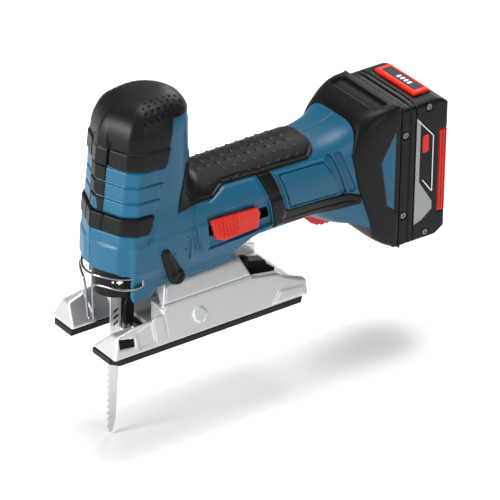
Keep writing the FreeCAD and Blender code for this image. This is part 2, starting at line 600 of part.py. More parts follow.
yoke_bore = cyl("YokeBore", "Z", ("rod_x", "0", "60"), "rod_rad", "90")
node(cut("Yoke", yoke_raw, yoke_slot, yoke_bore), "plunger_yoke")
holder = cut("HolderCut", cyl("Holder", "Z", ("rod_x", "0", "holder_z0"), "holder_rad",
                              "holder_z1 - holder_z0"),
             box("HolderSlot", ("rod_x - 4.2", "rod_x + 4.2"), ("-blade_thk / 2", "blade_thk / 2"),
                 ("holder_z0 - 1", "holder_z1 - 2")))
node(holder, "blade_holder")

tooth = []
top_z, low_z = 30.0, S("blade_low") + 2.0
count = int((top_z - low_z) / S("tooth_pitch"))
back_top, back_low, edge_top, edge_low = -51.3, -57.4, -58.4, -63.6


def at_z(a, b, z):
    return a + (b - a) * (38.0 - z) / (38.0 - S("blade_low"))


pts = [("rod_x - 4.1", "holder_z1 - 2.2"), ("rod_x - 4.1", "40"), ("%.3f" % edge_top, "38")]
for i in range(count):
    z = top_z - i * S("tooth_pitch")
    edge = at_z(edge_top, edge_low, z)
    pts.append(("%.3f" % edge, "%.3f" % (z + 0.4)))
    pts.append(("%.3f + tooth_depth" % edge, "%.3f" % (z - 0.8)))
    pts.append(("%.3f" % edge, "%.3f" % (z - S("tooth_pitch") + 0.8)))
pts += [("%.3f" % (edge_low + 0.3), "blade_low + 2"), ("%.3f" % (edge_low + 1.5), "blade_low"),
        ("%.3f" % (back_low - 1.5), "blade_low"), ("%.3f" % back_low, "blade_low + 3"),
        ("%.3f" % back_top, "38"), ("rod_x + 4.1", "40"), ("rod_x + 4.1", "holder_z1 - 2.2")]
clean = []
for q in pts:
    if not clean or q != clean[-1]:
        clean.append(q)
poly = [Vector(calc(u), -S("blade_thk") / 2, calc(v)) for u, v in clean]
blade = Part.Face(wire(poly)).extrude(Vector(0, S("blade_thk"), 0))
node(feature("Blade", blade), "saw_blade")

# blade release ring on the chin
ring = cut("RingCut", cyl("RingOut", "Z", ("rod_x", "0", "ring_z0"), "ring_out",
                          "ring_z1 - ring_z0"),
           cyl("RingIn", "Z", ("rod_x", "0", "ring_z0 - 1"), "ring_out - ring_thk", "30"),
           box("RingHalf", ("rod_x - 3.5", "rod_x + 40"), ("-40", "40"), ("30", "70")))
flange_r = cut("RingFlange", cyl("RingTop", "Z", ("rod_x", "0", "ring_z1"), "ring_out",
                                 "chin_z - gap - ring_z1"),
               cyl("RingEye", "Z", ("rod_x", "0", "ring_z1 - 1"), "holder_rad + 2", "9"),
               box("RingHalfTop", ("rod_x + 2.5", "rod_x + 40"), ("-40", "40"), ("50", "70")))
node(fuse("ReleaseRing", ring, flange_r), "blade_release_ring")

# guide fork and roller behind the blade
fork_bits = []
for q in (-1, 1):
    a, b = ("-7.9", "-5.9") if q < 0 else ("5.9", "7.9")
    fork_bits.append(box("ForkEar", ("-49.3", "-43.9"), (a, b), ("42", "54.5")))
fork_bits.append(box("ForkBridge", ("-48.4", "-44.6"), ("-7.9", "7.9"), ("41.6", "45")))
fork_bits.append(box("ForkArm", ("-47.4", "-44.6"), ("-1.5", "1.5"), ("11.5", "42")))
fork_bits.append(box("ForkFoot", ("-50", "-44.2"), ("-4.4", "4.4"), ("10", "12")))
for q in (-1, 1):
    a, b = ("-4.4", "-2.9") if q < 0 else ("2.9", "4.4")
    fork_bits.append(box("ForkTine", ("-50", "-45"), (a, b), ("roller_z - 2.5", "12")))
fork = cut("ForkCut", fuse("ForkRaw", *fork_bits),
           cyl("ForkPivotEye", "Y", ("fork_x", "-12", "fork_z"), "fork_pin_rad", "24"),
           cyl("ForkRollerEye", "Y", ("-47.6", "-12", "roller_z"), "1.2", "24"))
node(fork, "guide_fork")
pin = cyl("ForkPin", "Y", ("fork_x", "-7.9", "fork_z"), "fork_pin_rad", "15.8")
roll_pin = cyl("RollerPin", "Y", ("-47.6", "-4.4", "roller_z"), "1.2", "8.8")
node(fuse("ForkPins", pin, roll_pin), "fork_pins")
roller = cut("RollerCut", cyl("Roller", "Y", ("-47.6", "-2.5", "roller_z"), "roller_rad", "5"),
             cyl("RollerBore", "Y", ("-47.6", "-4", "roller_z"), "1.2 + shaft_gap", "8"))
node(roller, "guide_roller")

# cooling fan on the rotor
blades = []
for i in range(9):
    vane = slab(3, 10.2, -0.6, 0.6, 5, 17.5)
    vane.translate(Vector(0, 0, S("barrel_z")))
    vane.rotate(Vector(0, 0, S("barrel_z")), Vector(1, 0, 0), 40.0 * i)
    blades.append(vane)
fan = fused([rod_x(6, 3, 12, 0, S("barrel_z")), rod_x(18, 10, 12, 0, S("barrel_z"))] + blades)
fan = fan.cut(rod_x(S("shaft_rad"), 0, 20, 0, S("barrel_z")))
node(feature("Fan", fan), "cooling_fan")

# ---------------------------------------------------------------- wire guard
AX, AY = 25.8, S("skirt_half") + 1.9
rod_c = S("rod_x")
low = Vector(-76.5, 0, S("wire_low") + S("wire_rad"))


def guard_side(side):
    """Points of one half: over the ring, round the side loop, back and down the front leg."""
    def at(a, z, k=1.0):
        a = math.radians(a)
        return Vector(rod_c - k * AX * math.cos(a), side * k * AY * math.sin(a), z)
    pts = [at(9, 57, 1.01), at(33, 57), at(60, 57), at(84, 56.6)]
    pts += [Vector(rod_c + 2.4, side * AY, 53.6), Vector(rod_c + 2.4, side * AY, 43.4)]
    pts += [at(84, 40.4), at(60, 40), at(33, 40), at(13, 39.8)]
    pts += [Vector(-79.2, side * 3.1, 33), Vector(-76.7, side * 3.0, 24),
            Vector(-76.5, side * 2.8, low.z)]
    return pts


loop = [Vector(rod_c - AX, 0, 57)] + guard_side(-1) + [low]
half_g = wire_tube(loop, S("wire_rad"))
guard = half_g.fuse(half_g.mirror(Vector(0, 0, 0), Vector(0, 1, 0)))
node(feature("WireGuard", guard), "wire_guard")

# ---------------------------------------------------------------- switch, wheel, lever
for side, nm in ((-1, "left"), (1, "right")):
    pts = [("switch_x0", "switch_z0 + 3"), ("switch_x0 + 3", "switch_z0"),
           ("switch_x1 - 5", "switch_z0"), ("switch_x1", "switch_z1 - 3"),
           ("switch_x1 - 3", "switch_z1"), ("switch_x0 + 4", "switch_z1")]
    a, b = ("-33.4", "-28.95") if side < 0 else ("28.95", "33.4")
    pad = prism("Slider" + nm, "XZ", pts, a, b)
    grooves = [box("SliderGroove", ("switch_x0 + %d" % (8 + 5 * i), "switch_x0 + %d + 1.6"
                                    % (8 + 5 * i)),
                   ("-34", "-32.4") if side < 0 else ("32.4", "34"),
                   ("switch_z0 + 3", "switch_z1 - 3")) for i in range(6)]
    node(cut("SliderCut" + nm, pad, *grooves), "switch_slider_" + nm)
out_l = [("-25.8", "73.5"), ("-25.8", "95.5"), ("-14", "107.2"), ("14", "107.2"),
         ("25.8", "95.5"), ("25.8", "73.5")]
in_l = [("23", "73.5"), ("23", "94.4"), ("13", "104.4"), ("-13", "104.4"), ("-23", "94.4"),
        ("-23", "73.5")]
link = prism("SwitchLinkHoop", "YZ", (out_l + in_l)[::-1], "22", "28")
ends = [box("SwitchLinkPad", ("21", "29"), ("-28.95", "-24") if q < 0 else ("24", "28.95"),
            ("73.5", "78.5")) for q in (-1, 1)]
node(fuse("SwitchLink", link, *ends), "switch_link")
module = box("SwitchModule", ("80", "100"), ("-11", "11"), ("70", "92"))
plunger_b = cyl("SwitchModuleButton", "X", ("76.4", "0", "86"), "2.5", "3.6")
node(fuse("SwitchModuleAll", module, plunger_b), "switch_module")
board = box("Board", ("80", "101"), ("-19", "19"), ("65", "66.6"))
parts_b = [box("BoardChip", ("%d" % x, "%d" % (x + 5)), ("%d" % y, "%d" % (y + 4)),
               ("66.6", "68.8")) for x, y in ((82, -17), (82, 13), (90, -17), (90, 12))]
node(fuse("BoardAll", board, *parts_b), "circuit_board")


for y, nm in ((-7, "red"), (7, "black")):
    run = [Vector(101, y, 84), Vector(110, y * 1.2, 88), Vector(135, y * 1.6, 90),
           Vector(149, y * 1.5, 84), Vector(S("foot_x1") - 0.3, y * 1.3, 78)]
    node(feature("Lead" + nm, wire_tube(run, 1.3)), "battery_lead_" + nm)

wheel = cyl("SpeedWheel", "Y", ("wheel_x", "-wheel_wid / 2", "wheel_z"), "wheel_rad", "wheel_wid")
knurl = [cyl("WheelNotch", "Y", ("wheel_x + %.6f * wheel_rad" % math.sin(math.radians(15 * i)),
                                 "-wheel_wid / 2 - 1",
                                 "wheel_z + %.6f * wheel_rad" % math.cos(math.radians(15 * i))),
             "1.1", "wheel_wid + 2") for i in range(24)]
bore_w = cyl("WheelBore", "Y", ("wheel_x", "-10", "wheel_z"), "2 + shaft_gap", "20")
node(cut("SpeedWheelCut", wheel, bore_w, *knurl), "speed_wheel")
axle_w = cyl("WheelAxle", "Y", ("wheel_x", "-12", "wheel_z"), "2", "24")
node(axle_w, "speed_wheel_axle")

hub_l = cyl("LeverHub", "Y", ("lever_x", "-lever_face", "lever_z"), "lever_hub", "4.4")
tip_l = cyl("LeverTip", "Y", ("lever_tip_x", "-lever_face", "lever_tip_z"), "lever_tip", "4.4")
ang = math.atan2(S("lever_tip_x") - S("lever_x"), S("lever_tip_z") - S("lever_z"))
dist = math.hypot(S("lever_tip_x") - S("lever_x"), S("lever_tip_z") - S("lever_z"))
lean = math.asin((S("lever_hub") - S("lever_tip")) / dist)
quad = []
for sgn, cx, cz, rad in ((-1, "lever_x", "lever_z", "lever_hub"),
                         (-1, "lever_tip_x", "lever_tip_z", "lever_tip"),
                         (1, "lever_tip_x", "lever_tip_z", "lever_tip"),
                         (1, "lever_x", "lever_z", "lever_hub")):
    nx, nz = math.sin(ang + sgn * (math.pi / 2 - lean)), math.cos(ang + sgn * (math.pi / 2 - lean))
    quad.append(("%s + %.6f * %s" % (cx, nx, rad), "%s + %.6f * %s" % (cz, nz, rad)))
web_l = prism("LeverWeb", "XZ", quad, "-lever_face", "-lever_face + 4.4")
node(fuse("OrbitLever", hub_l, tip_l, web_l), "orbit_lever")
node(cyl("OrbitShaft", "Y", ("lever_x", "-lever_face + 4.4", "lever_z"), "3",
         "lever_face - 4.4 - 20"), "orbit_shaft")

# ---------------------------------------------------------------- battery foot and pack
shoe = box("Shoe", ("foot_x1", "shoe_x1"), ("-foot_half", "foot_half"), ("foot_bot", "foot_top"))
shoe_cuts = [box("ShoeGroove", ("shoe_x1 - 2.6", "shoe_x1 + 1"),
                 ("-30", "-26") if q < 0 else ("26", "30"), ("21.5", "200")) for q in (-1, 1)]
shoe_cuts += [box("ShoeContactSlot", ("foot_x1 - 1", "shoe_x1 + 1"),
                  ("-11", "-7") if q < 0 else ("7", "11"), ("66", "84")) for q in (-1, 1)]
node(cut("ShoeCut", shoe, *shoe_cuts), "battery_shoe")
node(fuse("ToolContacts", *[box("ToolContact", ("foot_x1 + 1.5", "shoe_x1"),
                                ("-10.9", "-7.1") if q < 0 else ("7.1", "10.9"), ("67", "83"))
                            for q in (-1, 1)]), "tool_contacts")


def pack_outline(off):
    x1, z0, z1, x0 = "batt_x1 - %s" % off, "batt_bot + %s" % off, "batt_top - %s" % off, "batt_x0"
    return [(x0, z0), ("%s - batt_cham_x" % x1, z0), (x1, "%s + batt_cham_z" % z0),
            (x1, "%s - batt_cham_z" % z1), ("%s - batt_cham_x" % x1, z1), (x0, z1)]


pack = prism("Pack", "XZ", pack_outline("0"), "-batt_half", "batt_half")
pack_void = prism("PackVoid", "XZ", pack_outline("batt_wall"), "-batt_half + 1.6",
                  "batt_half - 1.6")
front_slab = box("PackFrontZone", ("batt_x0 - 1", "batt_x0 + batt_wall"), ("-60", "60"),
                 ("0", "200"))
latch_hole = box("LatchHole", ("latch_x0 - gap", "latch_x1 + gap"),
                 ("-latch_half - gap", "latch_half + gap"), ("batt_top - 4", "batt_top + 4"))
PACK_SCREWS = [("pack_seam + 11.5", 18.5), ("pack_seam + 11.5", 119.5),
               ("batt_x0 + 3.6", 38), ("batt_x0 + 3.6", 102.6)]
pack_screw_holes = [cyl("PackScrewHole", "Y", (x, "-batt_half - 1", str(z)), "2.3", "2.2")
                    for x, z in PACK_SCREWS]
seam_line = cut("PackSeam", box("PackSeamOut", ("pack_seam - 0.3", "pack_seam + 0.3"),
                                ("-60", "60"), ("0", "200")),
                box("PackSeamIn", ("pack_seam - 1", "pack_seam + 1"),
                    ("-batt_half + 0.5", "batt_half - 0.5"), ("batt_bot + 0.5", "batt_top - 0.5")))
node(cut("PackCase", pack, pack_void, front_slab, latch_hole, seam_line, *pack_screw_holes),
     "battery_case")
cover = common("PackCoverRaw", prism("PackFront", "XZ", pack_outline("0"), "-batt_half",
                                     "batt_half"), front_slab)
ribs = [box("PackRib", ("batt_x0 - 2.2", "batt_x0 + 0.5"),
            ("-29.6", "-26.4") if q < 0 else ("26.4", "29.6"),
            ("22.2", "batt_top - 2.5")) for q in (-1, 1)]
eyes = [box("PackContactHole", ("batt_x0 - 1", "batt_x0 + 3"),
            ("-11", "-7") if q < 0 else ("7", "11"), ("66", "84")) for q in (-1, 1)]
node(cut("PackCover", fuse("PackCoverRibs", cover, *ribs), *eyes), "battery_cover")
node(fuse("PackContacts", *[box("PackContact", ("batt_x0 + 0.1", "batt_x0 + 1.2"),
                                ("-10.9", "-7.1") if q < 0 else ("7.1", "10.9"), ("67", "83"))
                            for q in (-1, 1)]), "battery_contacts")
cells = []
for row, (cx, z0) in enumerate((("batt_x0 + batt_wall + 0.6 + cell_rad", 29.6),
                                ("batt_x1 - batt_wall - 0.6 - cell_rad", 29.6))):
    for i in range(5):
        cells.append(cyl("Cell", "Y", (cx, "-cell_len / 2", "%s + %d * cell_pitch" % (z0, i)),
                         "cell_rad", "cell_len"))
node(fuse("Cells", *cells), "battery_cells")
heads = []
for x, z in PACK_SCREWS:
    head = cyl("PackScrew", "Y", (x, "-batt_half + 0.2", str(z)), "2.3", "1")
    heads.append(cut("PackScrewCut", head, cyl("PackScrewSocket", "Y", (
        x, "-batt_half - 1", str(z)), "1.1", "1.7")))
node(fuse("PackScrews", *heads), "battery_screws")
frame_l = cut("LatchFrameCut", box("LatchFrame", ("latch_x0", "latch_x1"),
                                   ("-latch_half", "latch_half"), ("batt_top - 1.2",
                                                                   "latch_top")),
              box("LatchWell", ("latch_x0 + 4", "latch_x1 - 3"),
                  ("-latch_half + 5", "latch_half - 5"), ("latch_top - 1.6", "latch_top + 5")))
node(frame_l, "latch_button")
node(box("LatchPad", ("latch_x0 + 4", "latch_x1 - 3"), ("-latch_half + 5", "latch_half - 5"),
         ("latch_top - 1.6", "latch_top - 0.6")), "latch_pad")

# ---------------------------------------------------------------- trim and screws
trim_zone = fused([slab(54, S("barrel_x1") - 6, a, b, 59, 68) for a, b in ((-60, -20), (20, 60))])
trim = solids_of(barrel_out.cut(barrel_mid).common(trim_zone))
node(feature("SideTrim", trim), "side_trim")
heads = []
for x, z in ((-20, 84), (-20, 122), (60, 90), (92, 76), (118, 80)):
    head = cyl("ShellScrew", "Y", (str(x), "%.2f" % (29.2 if x < 100 else 28.6), str(z)),
               "screw_rad", "1.6")
    heads.append(cut("ShellScrewCut", head, cyl("ShellScrewSocket", "Y", (str(x), "29.9",
                                                                       str(z)), "1.4", "3")))
node(fuse("ShellScrews", *heads), "housing_screws")

# ---------------------------------------------------------------- shell pockets for the trim
doc.recompute()
pockets = [trim] + [rod_y(S("screw_rad"), 29.2 if x < 100 else 28.6, 60, x, z)
                    for x, z in ((-20, 84), (-20, 122), (60, 90), (92, 76), (118, 80))]
for name in ("HousingLeft", "HousingRight"):
    obj = doc.getObject(name)
    obj.Shape = solids_of(obj.Shape.cut(fused(pockets[1:])).cut(trim), 200.0)
doc.recompute()

bad = [o.Name for o in doc.Objects if "Invalid" in o.State or "Error" in o.State]
bad += [o.Label for o in NODES if o.Shape.isNull() or not o.Shape.isValid()
        or not o.Shape.Solids]
if bad:
    raise RuntimeError("broken features: " + ", ".join(bad))
os.makedirs("parts", exist_ok=True)
for obj in NODES:
    obj.Shape.exportStep("parts/" + obj.Label + ".step")
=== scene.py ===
"""Looks of a cordless barrel-grip jigsaw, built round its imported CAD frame.

Most moulded pieces are described as distance fields in millimetres (negative inside) and
skinned by skin(); the rest are extruded or swept in mesh code.
Axes: +X to the battery, -X to the blade, -Y the side the camera sees, +Z up.
"""

import math

import bmesh
import bpy
import numpy as np
from mathutils import Matrix, Vector


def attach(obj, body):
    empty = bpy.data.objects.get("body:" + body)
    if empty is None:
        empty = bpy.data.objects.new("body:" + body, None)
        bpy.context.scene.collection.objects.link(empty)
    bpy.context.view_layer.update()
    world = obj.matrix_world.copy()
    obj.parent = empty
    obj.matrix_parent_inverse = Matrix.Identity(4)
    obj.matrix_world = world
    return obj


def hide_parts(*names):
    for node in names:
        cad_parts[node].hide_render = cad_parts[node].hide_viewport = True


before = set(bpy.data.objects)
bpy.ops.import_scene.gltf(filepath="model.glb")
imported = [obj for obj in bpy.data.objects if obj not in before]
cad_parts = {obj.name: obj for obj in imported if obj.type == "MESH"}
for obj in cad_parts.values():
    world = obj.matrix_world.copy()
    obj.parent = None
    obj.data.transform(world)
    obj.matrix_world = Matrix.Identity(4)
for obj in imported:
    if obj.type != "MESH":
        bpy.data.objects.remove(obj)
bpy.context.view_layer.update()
MM = 0.001

# ------------------------------------------------------------------ fields


def smin(a, b, k):
    """Union of two fields with a fillet of about k millimetres."""
    h = np.maximum(k - np.abs(a - b), 0.0) / k
    return np.minimum(a, b) - h * h * k * 0.25


def join(k, *fields):
    out = fields[0]
    for f in fields[1:]:
        out = smin(out, f, k)
    return out


def meet(k, *fields):
    """Intersection of fields with edges rounded over about k millimetres."""
    out = -fields[0]
    for f in fields[1:]:
        out = smin(out, -f, k)
    return -out


def between(u, lo, hi):
    return np.maximum(lo - u, u - hi)


def outline(u, v, pts):
    """Signed distance to a closed outline."""
    best, outside = None, True
    for (ax, ay), (bx, by) in zip(pts, pts[-1:] + pts[:-1]):
        ex, ey, wx, wy = bx - ax, by - ay, u - ax, v - ay
        t = np.clip((wx * ex + wy * ey) / (ex * ex + ey * ey), 0, 1)
        d = (wx - ex * t) ** 2 + (wy - ey * t) ** 2
        best = d if best is None else np.minimum(best, d)
        low, high, left = v >= ay, v < by, ex * wy > ey * wx
        outside = outside ^ ((low & high & left) | (~low & ~high & ~left))
    return np.where(outside, 1.0, -1.0) * np.sqrt(best)


def ribbon(u, v, pts, width):
    """Distance to an open line in a plane, less half its width."""
    best = None
    for (ax, ay), (bx, by) in zip(pts, pts[1:]):
        ex, ey, wx, wy = bx - ax, by - ay, u - ax, v - ay
        t = np.clip((wx * ex + wy * ey) / (ex * ex + ey * ey), 0, 1)
        d = (wx - ex * t) ** 2 + (wy - ey * t) ** 2
        best = d if best is None else np.minimum(best, d)
    return np.sqrt(best) - width / 2


def plane(p, q, r, inside=(-40, 0, 120)):
    """Half space through three points, negative on the side of 'inside'."""
    p, q, r = (np.array(t, float) for t in (p, q, r))
    n = np.cross(q - p, r - p)
    n /= np.linalg.norm(n)
    if np.dot(np.array(inside, float) - p, n) > 0:
        n = -n
    return lambda x, y, z: n[0] * (x - p[0]) + n[1] * (y - p[1]) + n[2] * (z - p[2])


def curve(pairs, soft=5.0):
    """Smoothed interpolation through (place, value) pairs."""
    xs, vs = zip(*pairs)
    grid = np.arange(xs[0] - 20, xs[-1] + 20, 0.5)
    reach = int(2 * soft / 0.5)
    kernel = np.exp(-(np.arange(-reach, reach + 1) * 0.5 / soft) ** 2)
    table = np.interp(grid, xs, vs)
    table = np.convolve(np.pad(table, reach, "edge"), kernel / kernel.sum(), "valid")
    return lambda x: np.interp(x, grid, table)


def nets(field, lo, hi, step):
    """Surface of a field as points and quads: one point for each grid cell that it crosses."""
    axes = [np.arange(a, b + step, step) for a, b in zip(lo, hi)]
    size = np.array([len(a) for a in axes])
    gx, gy, gz = axes[0][:, None, None], axes[1][None, :, None], axes[2][None, None, :]
    v = np.broadcast_to(field(gx, gy, gz), tuple(size)).astype(np.float32)
    stride = np.array([size[1] * size[2], size[2], 1])
    cells, spots, quads = [], [], []
    for a in range(3):
        b, c = (a + 1) % 3, (a + 2) % 3
        head, tail = [slice(None)] * 3, [slice(None)] * 3
        head[a], tail[a] = slice(0, -1), slice(1, None)
        at = np.argwhere((v[tuple(head)] < 0) != (v[tuple(tail)] < 0))
        at = at[(at[:, b] > 0) & (at[:, c] > 0)]
        one = np.zeros(3, int)
        one[a] = 1
        start, end = v[tuple(at.T)], v[tuple((at + one).T)]
        spot = at.astype(float)
        spot[:, a] += start / (start - end)
        base = at @ stride
        ring = np.stack([base, base - stride[b], base - stride[b] - stride[c], base - stride[c]], 1)
        ring[start > 0] = ring[start > 0][:, ::-1]
        quads.append(ring)
        cells.append(ring.ravel())
        spots.append(np.repeat(spot, 4, axis=0))
    where = np.unique(np.concatenate(cells), return_inverse=True)[1]
    spots = np.concatenate(spots)
    count = np.bincount(where)
    pts = np.stack([np.bincount(where, weights=spots[:, k]) / count for k in range(3)], 1)
    pts = pts * step + np.array(lo, float)
    quads = where.reshape(-1, 4)
    for _ in range(2):  # settle the points on the surface
        x, y, z = pts.T
        e = 0.15 * step
        f = field(x, y, z)
        g = np.stack([field(x + e, y, z) - field(x - e, y, z), field(x, y + e, z) - field(x, y - e, z),
                      field(x, y, z + e) - field(x, y, z - e)], 1) / (2 * e)
        move = -(f / np.maximum((g * g).sum(1), 0.2))[:, None] * g
        far = np.linalg.norm(move, axis=1, keepdims=True)
        pts = pts + move * np.minimum(1, 0.5 * step / np.maximum(far, 1e-9))
    return pts, quads


# ------------------------------------------------------------------ meshes


def mesh_piece(name, pts, faces, smooth=35):
    """A piece from points in millimetres."""
    mesh = bpy.data.meshes.new(name)
    mesh.from_pydata((np.array(pts, float) * MM).tolist(), [], [list(f) for f in faces])
    mesh.validate()
    obj = bpy.data.objects.new(name, mesh)
    bpy.context.scene.collection.objects.link(obj)
    shade(obj, smooth)
    return obj


def shade(obj, angle=35):
    obj.data.shade_smooth()
    if angle:
        obj.data.set_sharp_from_angle(angle=math.radians(angle))


def bake(obj):
    """Apply every modifier."""
    bpy.context.view_layer.update()
    view = bpy.context.evaluated_depsgraph_get()
    mesh = bpy.data.meshes.new_from_object(obj.evaluated_get(view))
    obj.modifiers.clear()
    obj.data = mesh
    return obj


def skin(name, field, lo, hi, step=0.9, keep=0.45, crease=34):
    """A piece from a field; flat areas are thinned to 'keep' of the faces."""
    pts, quads = nets(field, lo, hi, step)
    obj = mesh_piece(name, pts, quads, 0)
    if keep < 1:
        thin = obj.modifiers.new("thin", "DECIMATE")
        thin.ratio = keep
        bake(obj)
    shade(obj, crease)
    return obj


def mirrored(obj, name):
    """A copy flipped to the other side of the tool."""
    mesh = obj.data.copy()
    mesh.transform(Matrix.Scale(-1, 4, (0, 1, 0)))
    mesh.flip_normals()
    twin = bpy.data.objects.new(name, mesh)
    bpy.context.scene.collection.objects.link(twin)
    return twin


def bevelled(obj, width, segments=2, angle=30):
    mod = obj.modifiers.new("edge", "BEVEL")
    mod.width, mod.segments = width * MM, segments
    mod.limit_method, mod.angle_limit = "ANGLE", math.radians(angle)
    bake(obj)
    shade(obj, 40)
    return obj


def prism(name, plane_axes, pts, lo, hi, edge=0.4, segments=2):
    """An outline drawn in one plane and given depth along the third axis."""
    a, b = ("XYZ".index(c) for c in plane_axes)
    c = 3 - a - b
    n, out = len(pts), []
    for depth in (lo, hi):
        for u, v in pts:
            p = [0, 0, 0]
            p[a], p[b], p[c] = u, v, depth
            out.append(p)
    faces = [list(range(n)), list(range(n, 2 * n))]
    faces += [[i, (i + 1) % n, n + (i + 1) % n, n + i] for i in range(n)]
    obj = mesh_piece(name, out, faces, 40)
    bm = bmesh.new()
    bm.from_mesh(obj.data)
    bmesh.ops.recalc_face_normals(bm, faces=bm.faces)
    bm.to_mesh(obj.data)
    bm.free()
    return bevelled(obj, edge, segments) if edge else obj


def merged(name, *objs):
    """One piece from several."""
    bm = bmesh.new()
    for o in objs:
        bm.from_mesh(o.data)
        bpy.data.objects.remove(o)
    mesh = bpy.data.meshes.new(name)
    bm.to_mesh(mesh)
    bm.free()
    obj = bpy.data.objects.new(name, mesh)
    bpy.context.scene.collection.objects.link(obj)
    return obj


def swept(name, pts, radius, sides=10):
    """A round bar along smoothed points."""
    line = bpy.data.curves.new(name, "CURVE")
    line.dimensions, line.bevel_depth, line.bevel_resolution = "3D", radius * MM, 4
    line.use_fill_caps = True
    run = line.splines.new("NURBS")
    run.points.add(len(pts) - 1)
    for p, q in zip(run.points, pts):
        p.co = (q[0] * MM, q[1] * MM, q[2] * MM, 1)
    run.order_u, run.use_endpoint_u, run.resolution_u = 3, True, sides
    obj = bpy.data.objects.new(name, line)
    bpy.context.scene.collection.objects.link(obj)
    mesh = bpy.data.meshes.new_from_object(obj.evaluated_get(bpy.context.evaluated_depsgraph_get()))
    bpy.data.objects.remove(obj)
    obj = bpy.data.objects.new(name, mesh)
    bpy.context.scene.collection.objects.link(obj)
    shade(obj, 0)
    return obj


def place(obj, body, mat, slot, *nodes):
    """Finish a piece: its body, its material and the CAD nodes it stands for."""
    obj.data.materials.clear()
    obj.data.materials.append(mat)
    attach(obj, body)
    if nodes:
        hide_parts(*nodes)
    return obj


# ------------------------------------------------------------------ materials


def finish_material(name, colour, rough, metallic=0.0, vary=0.08, grain=0.25, grain_mm=0.9,
                    rough_vary=0.08, coat=0.0, specular=0.5, streak=None, patch_mm=30):
    """Moulded or cast surface: base colour that drifts slightly, uneven gloss and fine grain."""
    mat = bpy.data.materials.new(name)
    mat.use_nodes = True
    nodes, links = mat.node_tree.nodes, mat.node_tree.links
    shader = nodes["Principled BSDF"]
    shader.inputs["Metallic"].default_value = metallic
    shader.inputs["Coat Weight"].default_value = coat
    shader.inputs["Coat Roughness"].default_value = 0.15
    shader.inputs["Specular IOR Level"].default_value = specular
    place_ = nodes.new("ShaderNodeTexCoord")
    stretch = nodes.new("ShaderNodeMapping")
    stretch.inputs["Scale"].default_value = streak or (1, 1, 1)
    links.new(place_.outputs["Object"], stretch.inputs["Vector"])
    patch = nodes.new("ShaderNodeTexNoise")
    patch.inputs["Scale"].default_value = 1000 / patch_mm
    patch.inputs["Detail"].default_value = 4
    links.new(stretch.outputs["Vector"], patch.inputs["Vector"])
    tint = nodes.new("ShaderNodeMix")
    tint.data_type = "RGBA"
    tint.inputs["A"].default_value = (*[c * (1 - vary) for c in colour], 1)
    tint.inputs["B"].default_value = (*[min(1, c * (1 + vary)) for c in colour], 1)
    links.new(patch.outputs["Fac"], tint.inputs["Factor"])
    links.new(tint.outputs["Result"], shader.inputs["Base Color"])
    fine = nodes.new("ShaderNodeTexNoise")
    fine.inputs["Scale"].default_value = 1000 / grain_mm
    fine.inputs["Detail"].default_value = 3
    links.new(stretch.outputs["Vector"], fine.inputs["Vector"])
    gloss = nodes.new("ShaderNodeMapRange")
    gloss.inputs["To Min"].default_value = max(0.02, rough - rough_vary)
    gloss.inputs["To Max"].default_value = rough + rough_vary
    links.new(fine.outputs["Fac"], gloss.inputs["Value"])
    links.new(gloss.outputs["Result"], shader.inputs["Roughness"])
    relief = nodes.new("ShaderNodeBump")
    relief.inputs["Strength"].default_value = grain
    relief.inputs["Distance"].default_value = 0.00005
    links.new(fine.outputs["Fac"], relief.inputs["Height"])
    links.new(relief.outputs["Normal"], shader.inputs["Normal"])
    return mat


M = {
    "blue_nylon": finish_material("blue_nylon", (0.004, 0.084, 0.160), 0.38, grain=0.3, specular=0.3),
    "black_rubber": finish_material("black_rubber", (0.003, 0.003, 0.0033), 0.40, grain=0.35,
                                    grain_mm=0.6, specular=0.16),
    "black_plastic": finish_material("black_plastic", (0.0035, 0.0035, 0.004), 0.36, grain=0.35,
                                     specular=0.16),
    "red_plastic": finish_material("red_plastic", (0.60, 0.012, 0.003), 0.4, grain=0.2, vary=0.05,
                                   specular=0.3),
    "cast_alloy": finish_material("cast_alloy", (0.62, 0.63, 0.64), 0.36, metallic=0.8, vary=0.06,
                                  grain=0.5, grain_mm=1.3, rough_vary=0.1),
    "sole_black": finish_material("sole_black", (0.005, 0.005, 0.005), 0.5, grain=0.4, specular=0.2),
    "tool_steel": finish_material("tool_steel", (0.16, 0.16, 0.165), 0.3, metallic=0.9, grain=0.2),
    "blade_steel": finish_material("blade_steel", (0.62, 0.62, 0.62), 0.34, metallic=0.8, grain=0.5,
                                   grain_mm=0.5, streak=(1, 1, 0.1)),
    "chrome_wire": finish_material("chrome_wire", (0.26, 0.26, 0.27), 0.16, metallic=1.0, grain=0.05),
    "motor_steel": finish_material("motor_steel", (0.4, 0.4, 0.41), 0.35, metallic=0.9),
    "magnet_grey": finish_material("magnet_grey", (0.09, 0.09, 0.1), 0.5),
    "copper_alloy": finish_material("copper_alloy", (0.72, 0.36, 0.16), 0.3, metallic=0.95),
    "bronze": finish_material("bronze", (0.5, 0.32, 0.12), 0.38, metallic=0.9),
    "board_green": finish_material("board_green", (0.015, 0.14, 0.05), 0.4),
    "wire_red": finish_material("wire_red", (0.5, 0.02, 0.02), 0.4),
    "wire_black": finish_material("wire_black", (0.015, 0.015, 0.015), 0.4),
    "cell_wrap": finish_material("cell_wrap", (0.08, 0.2, 0.32), 0.35),
    "label_grey": finish_material("label_grey", (0.27, 0.28, 0.29), 0.4, grain=0.1),
    "print_white": finish_material("print_white", (0.85, 0.85, 0.85), 0.45, grain=0.05, vary=0.03),
}
for name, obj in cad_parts.items():
    for i, old in enumerate(obj.data.materials):
        key = (old.name.split(".")[0] if old else "")
        if key in M:
            obj.data.materials[i] = M[key]
    obj.data.shade_smooth()
    obj.data.set_sharp_from_angle(angle=math.radians(30))

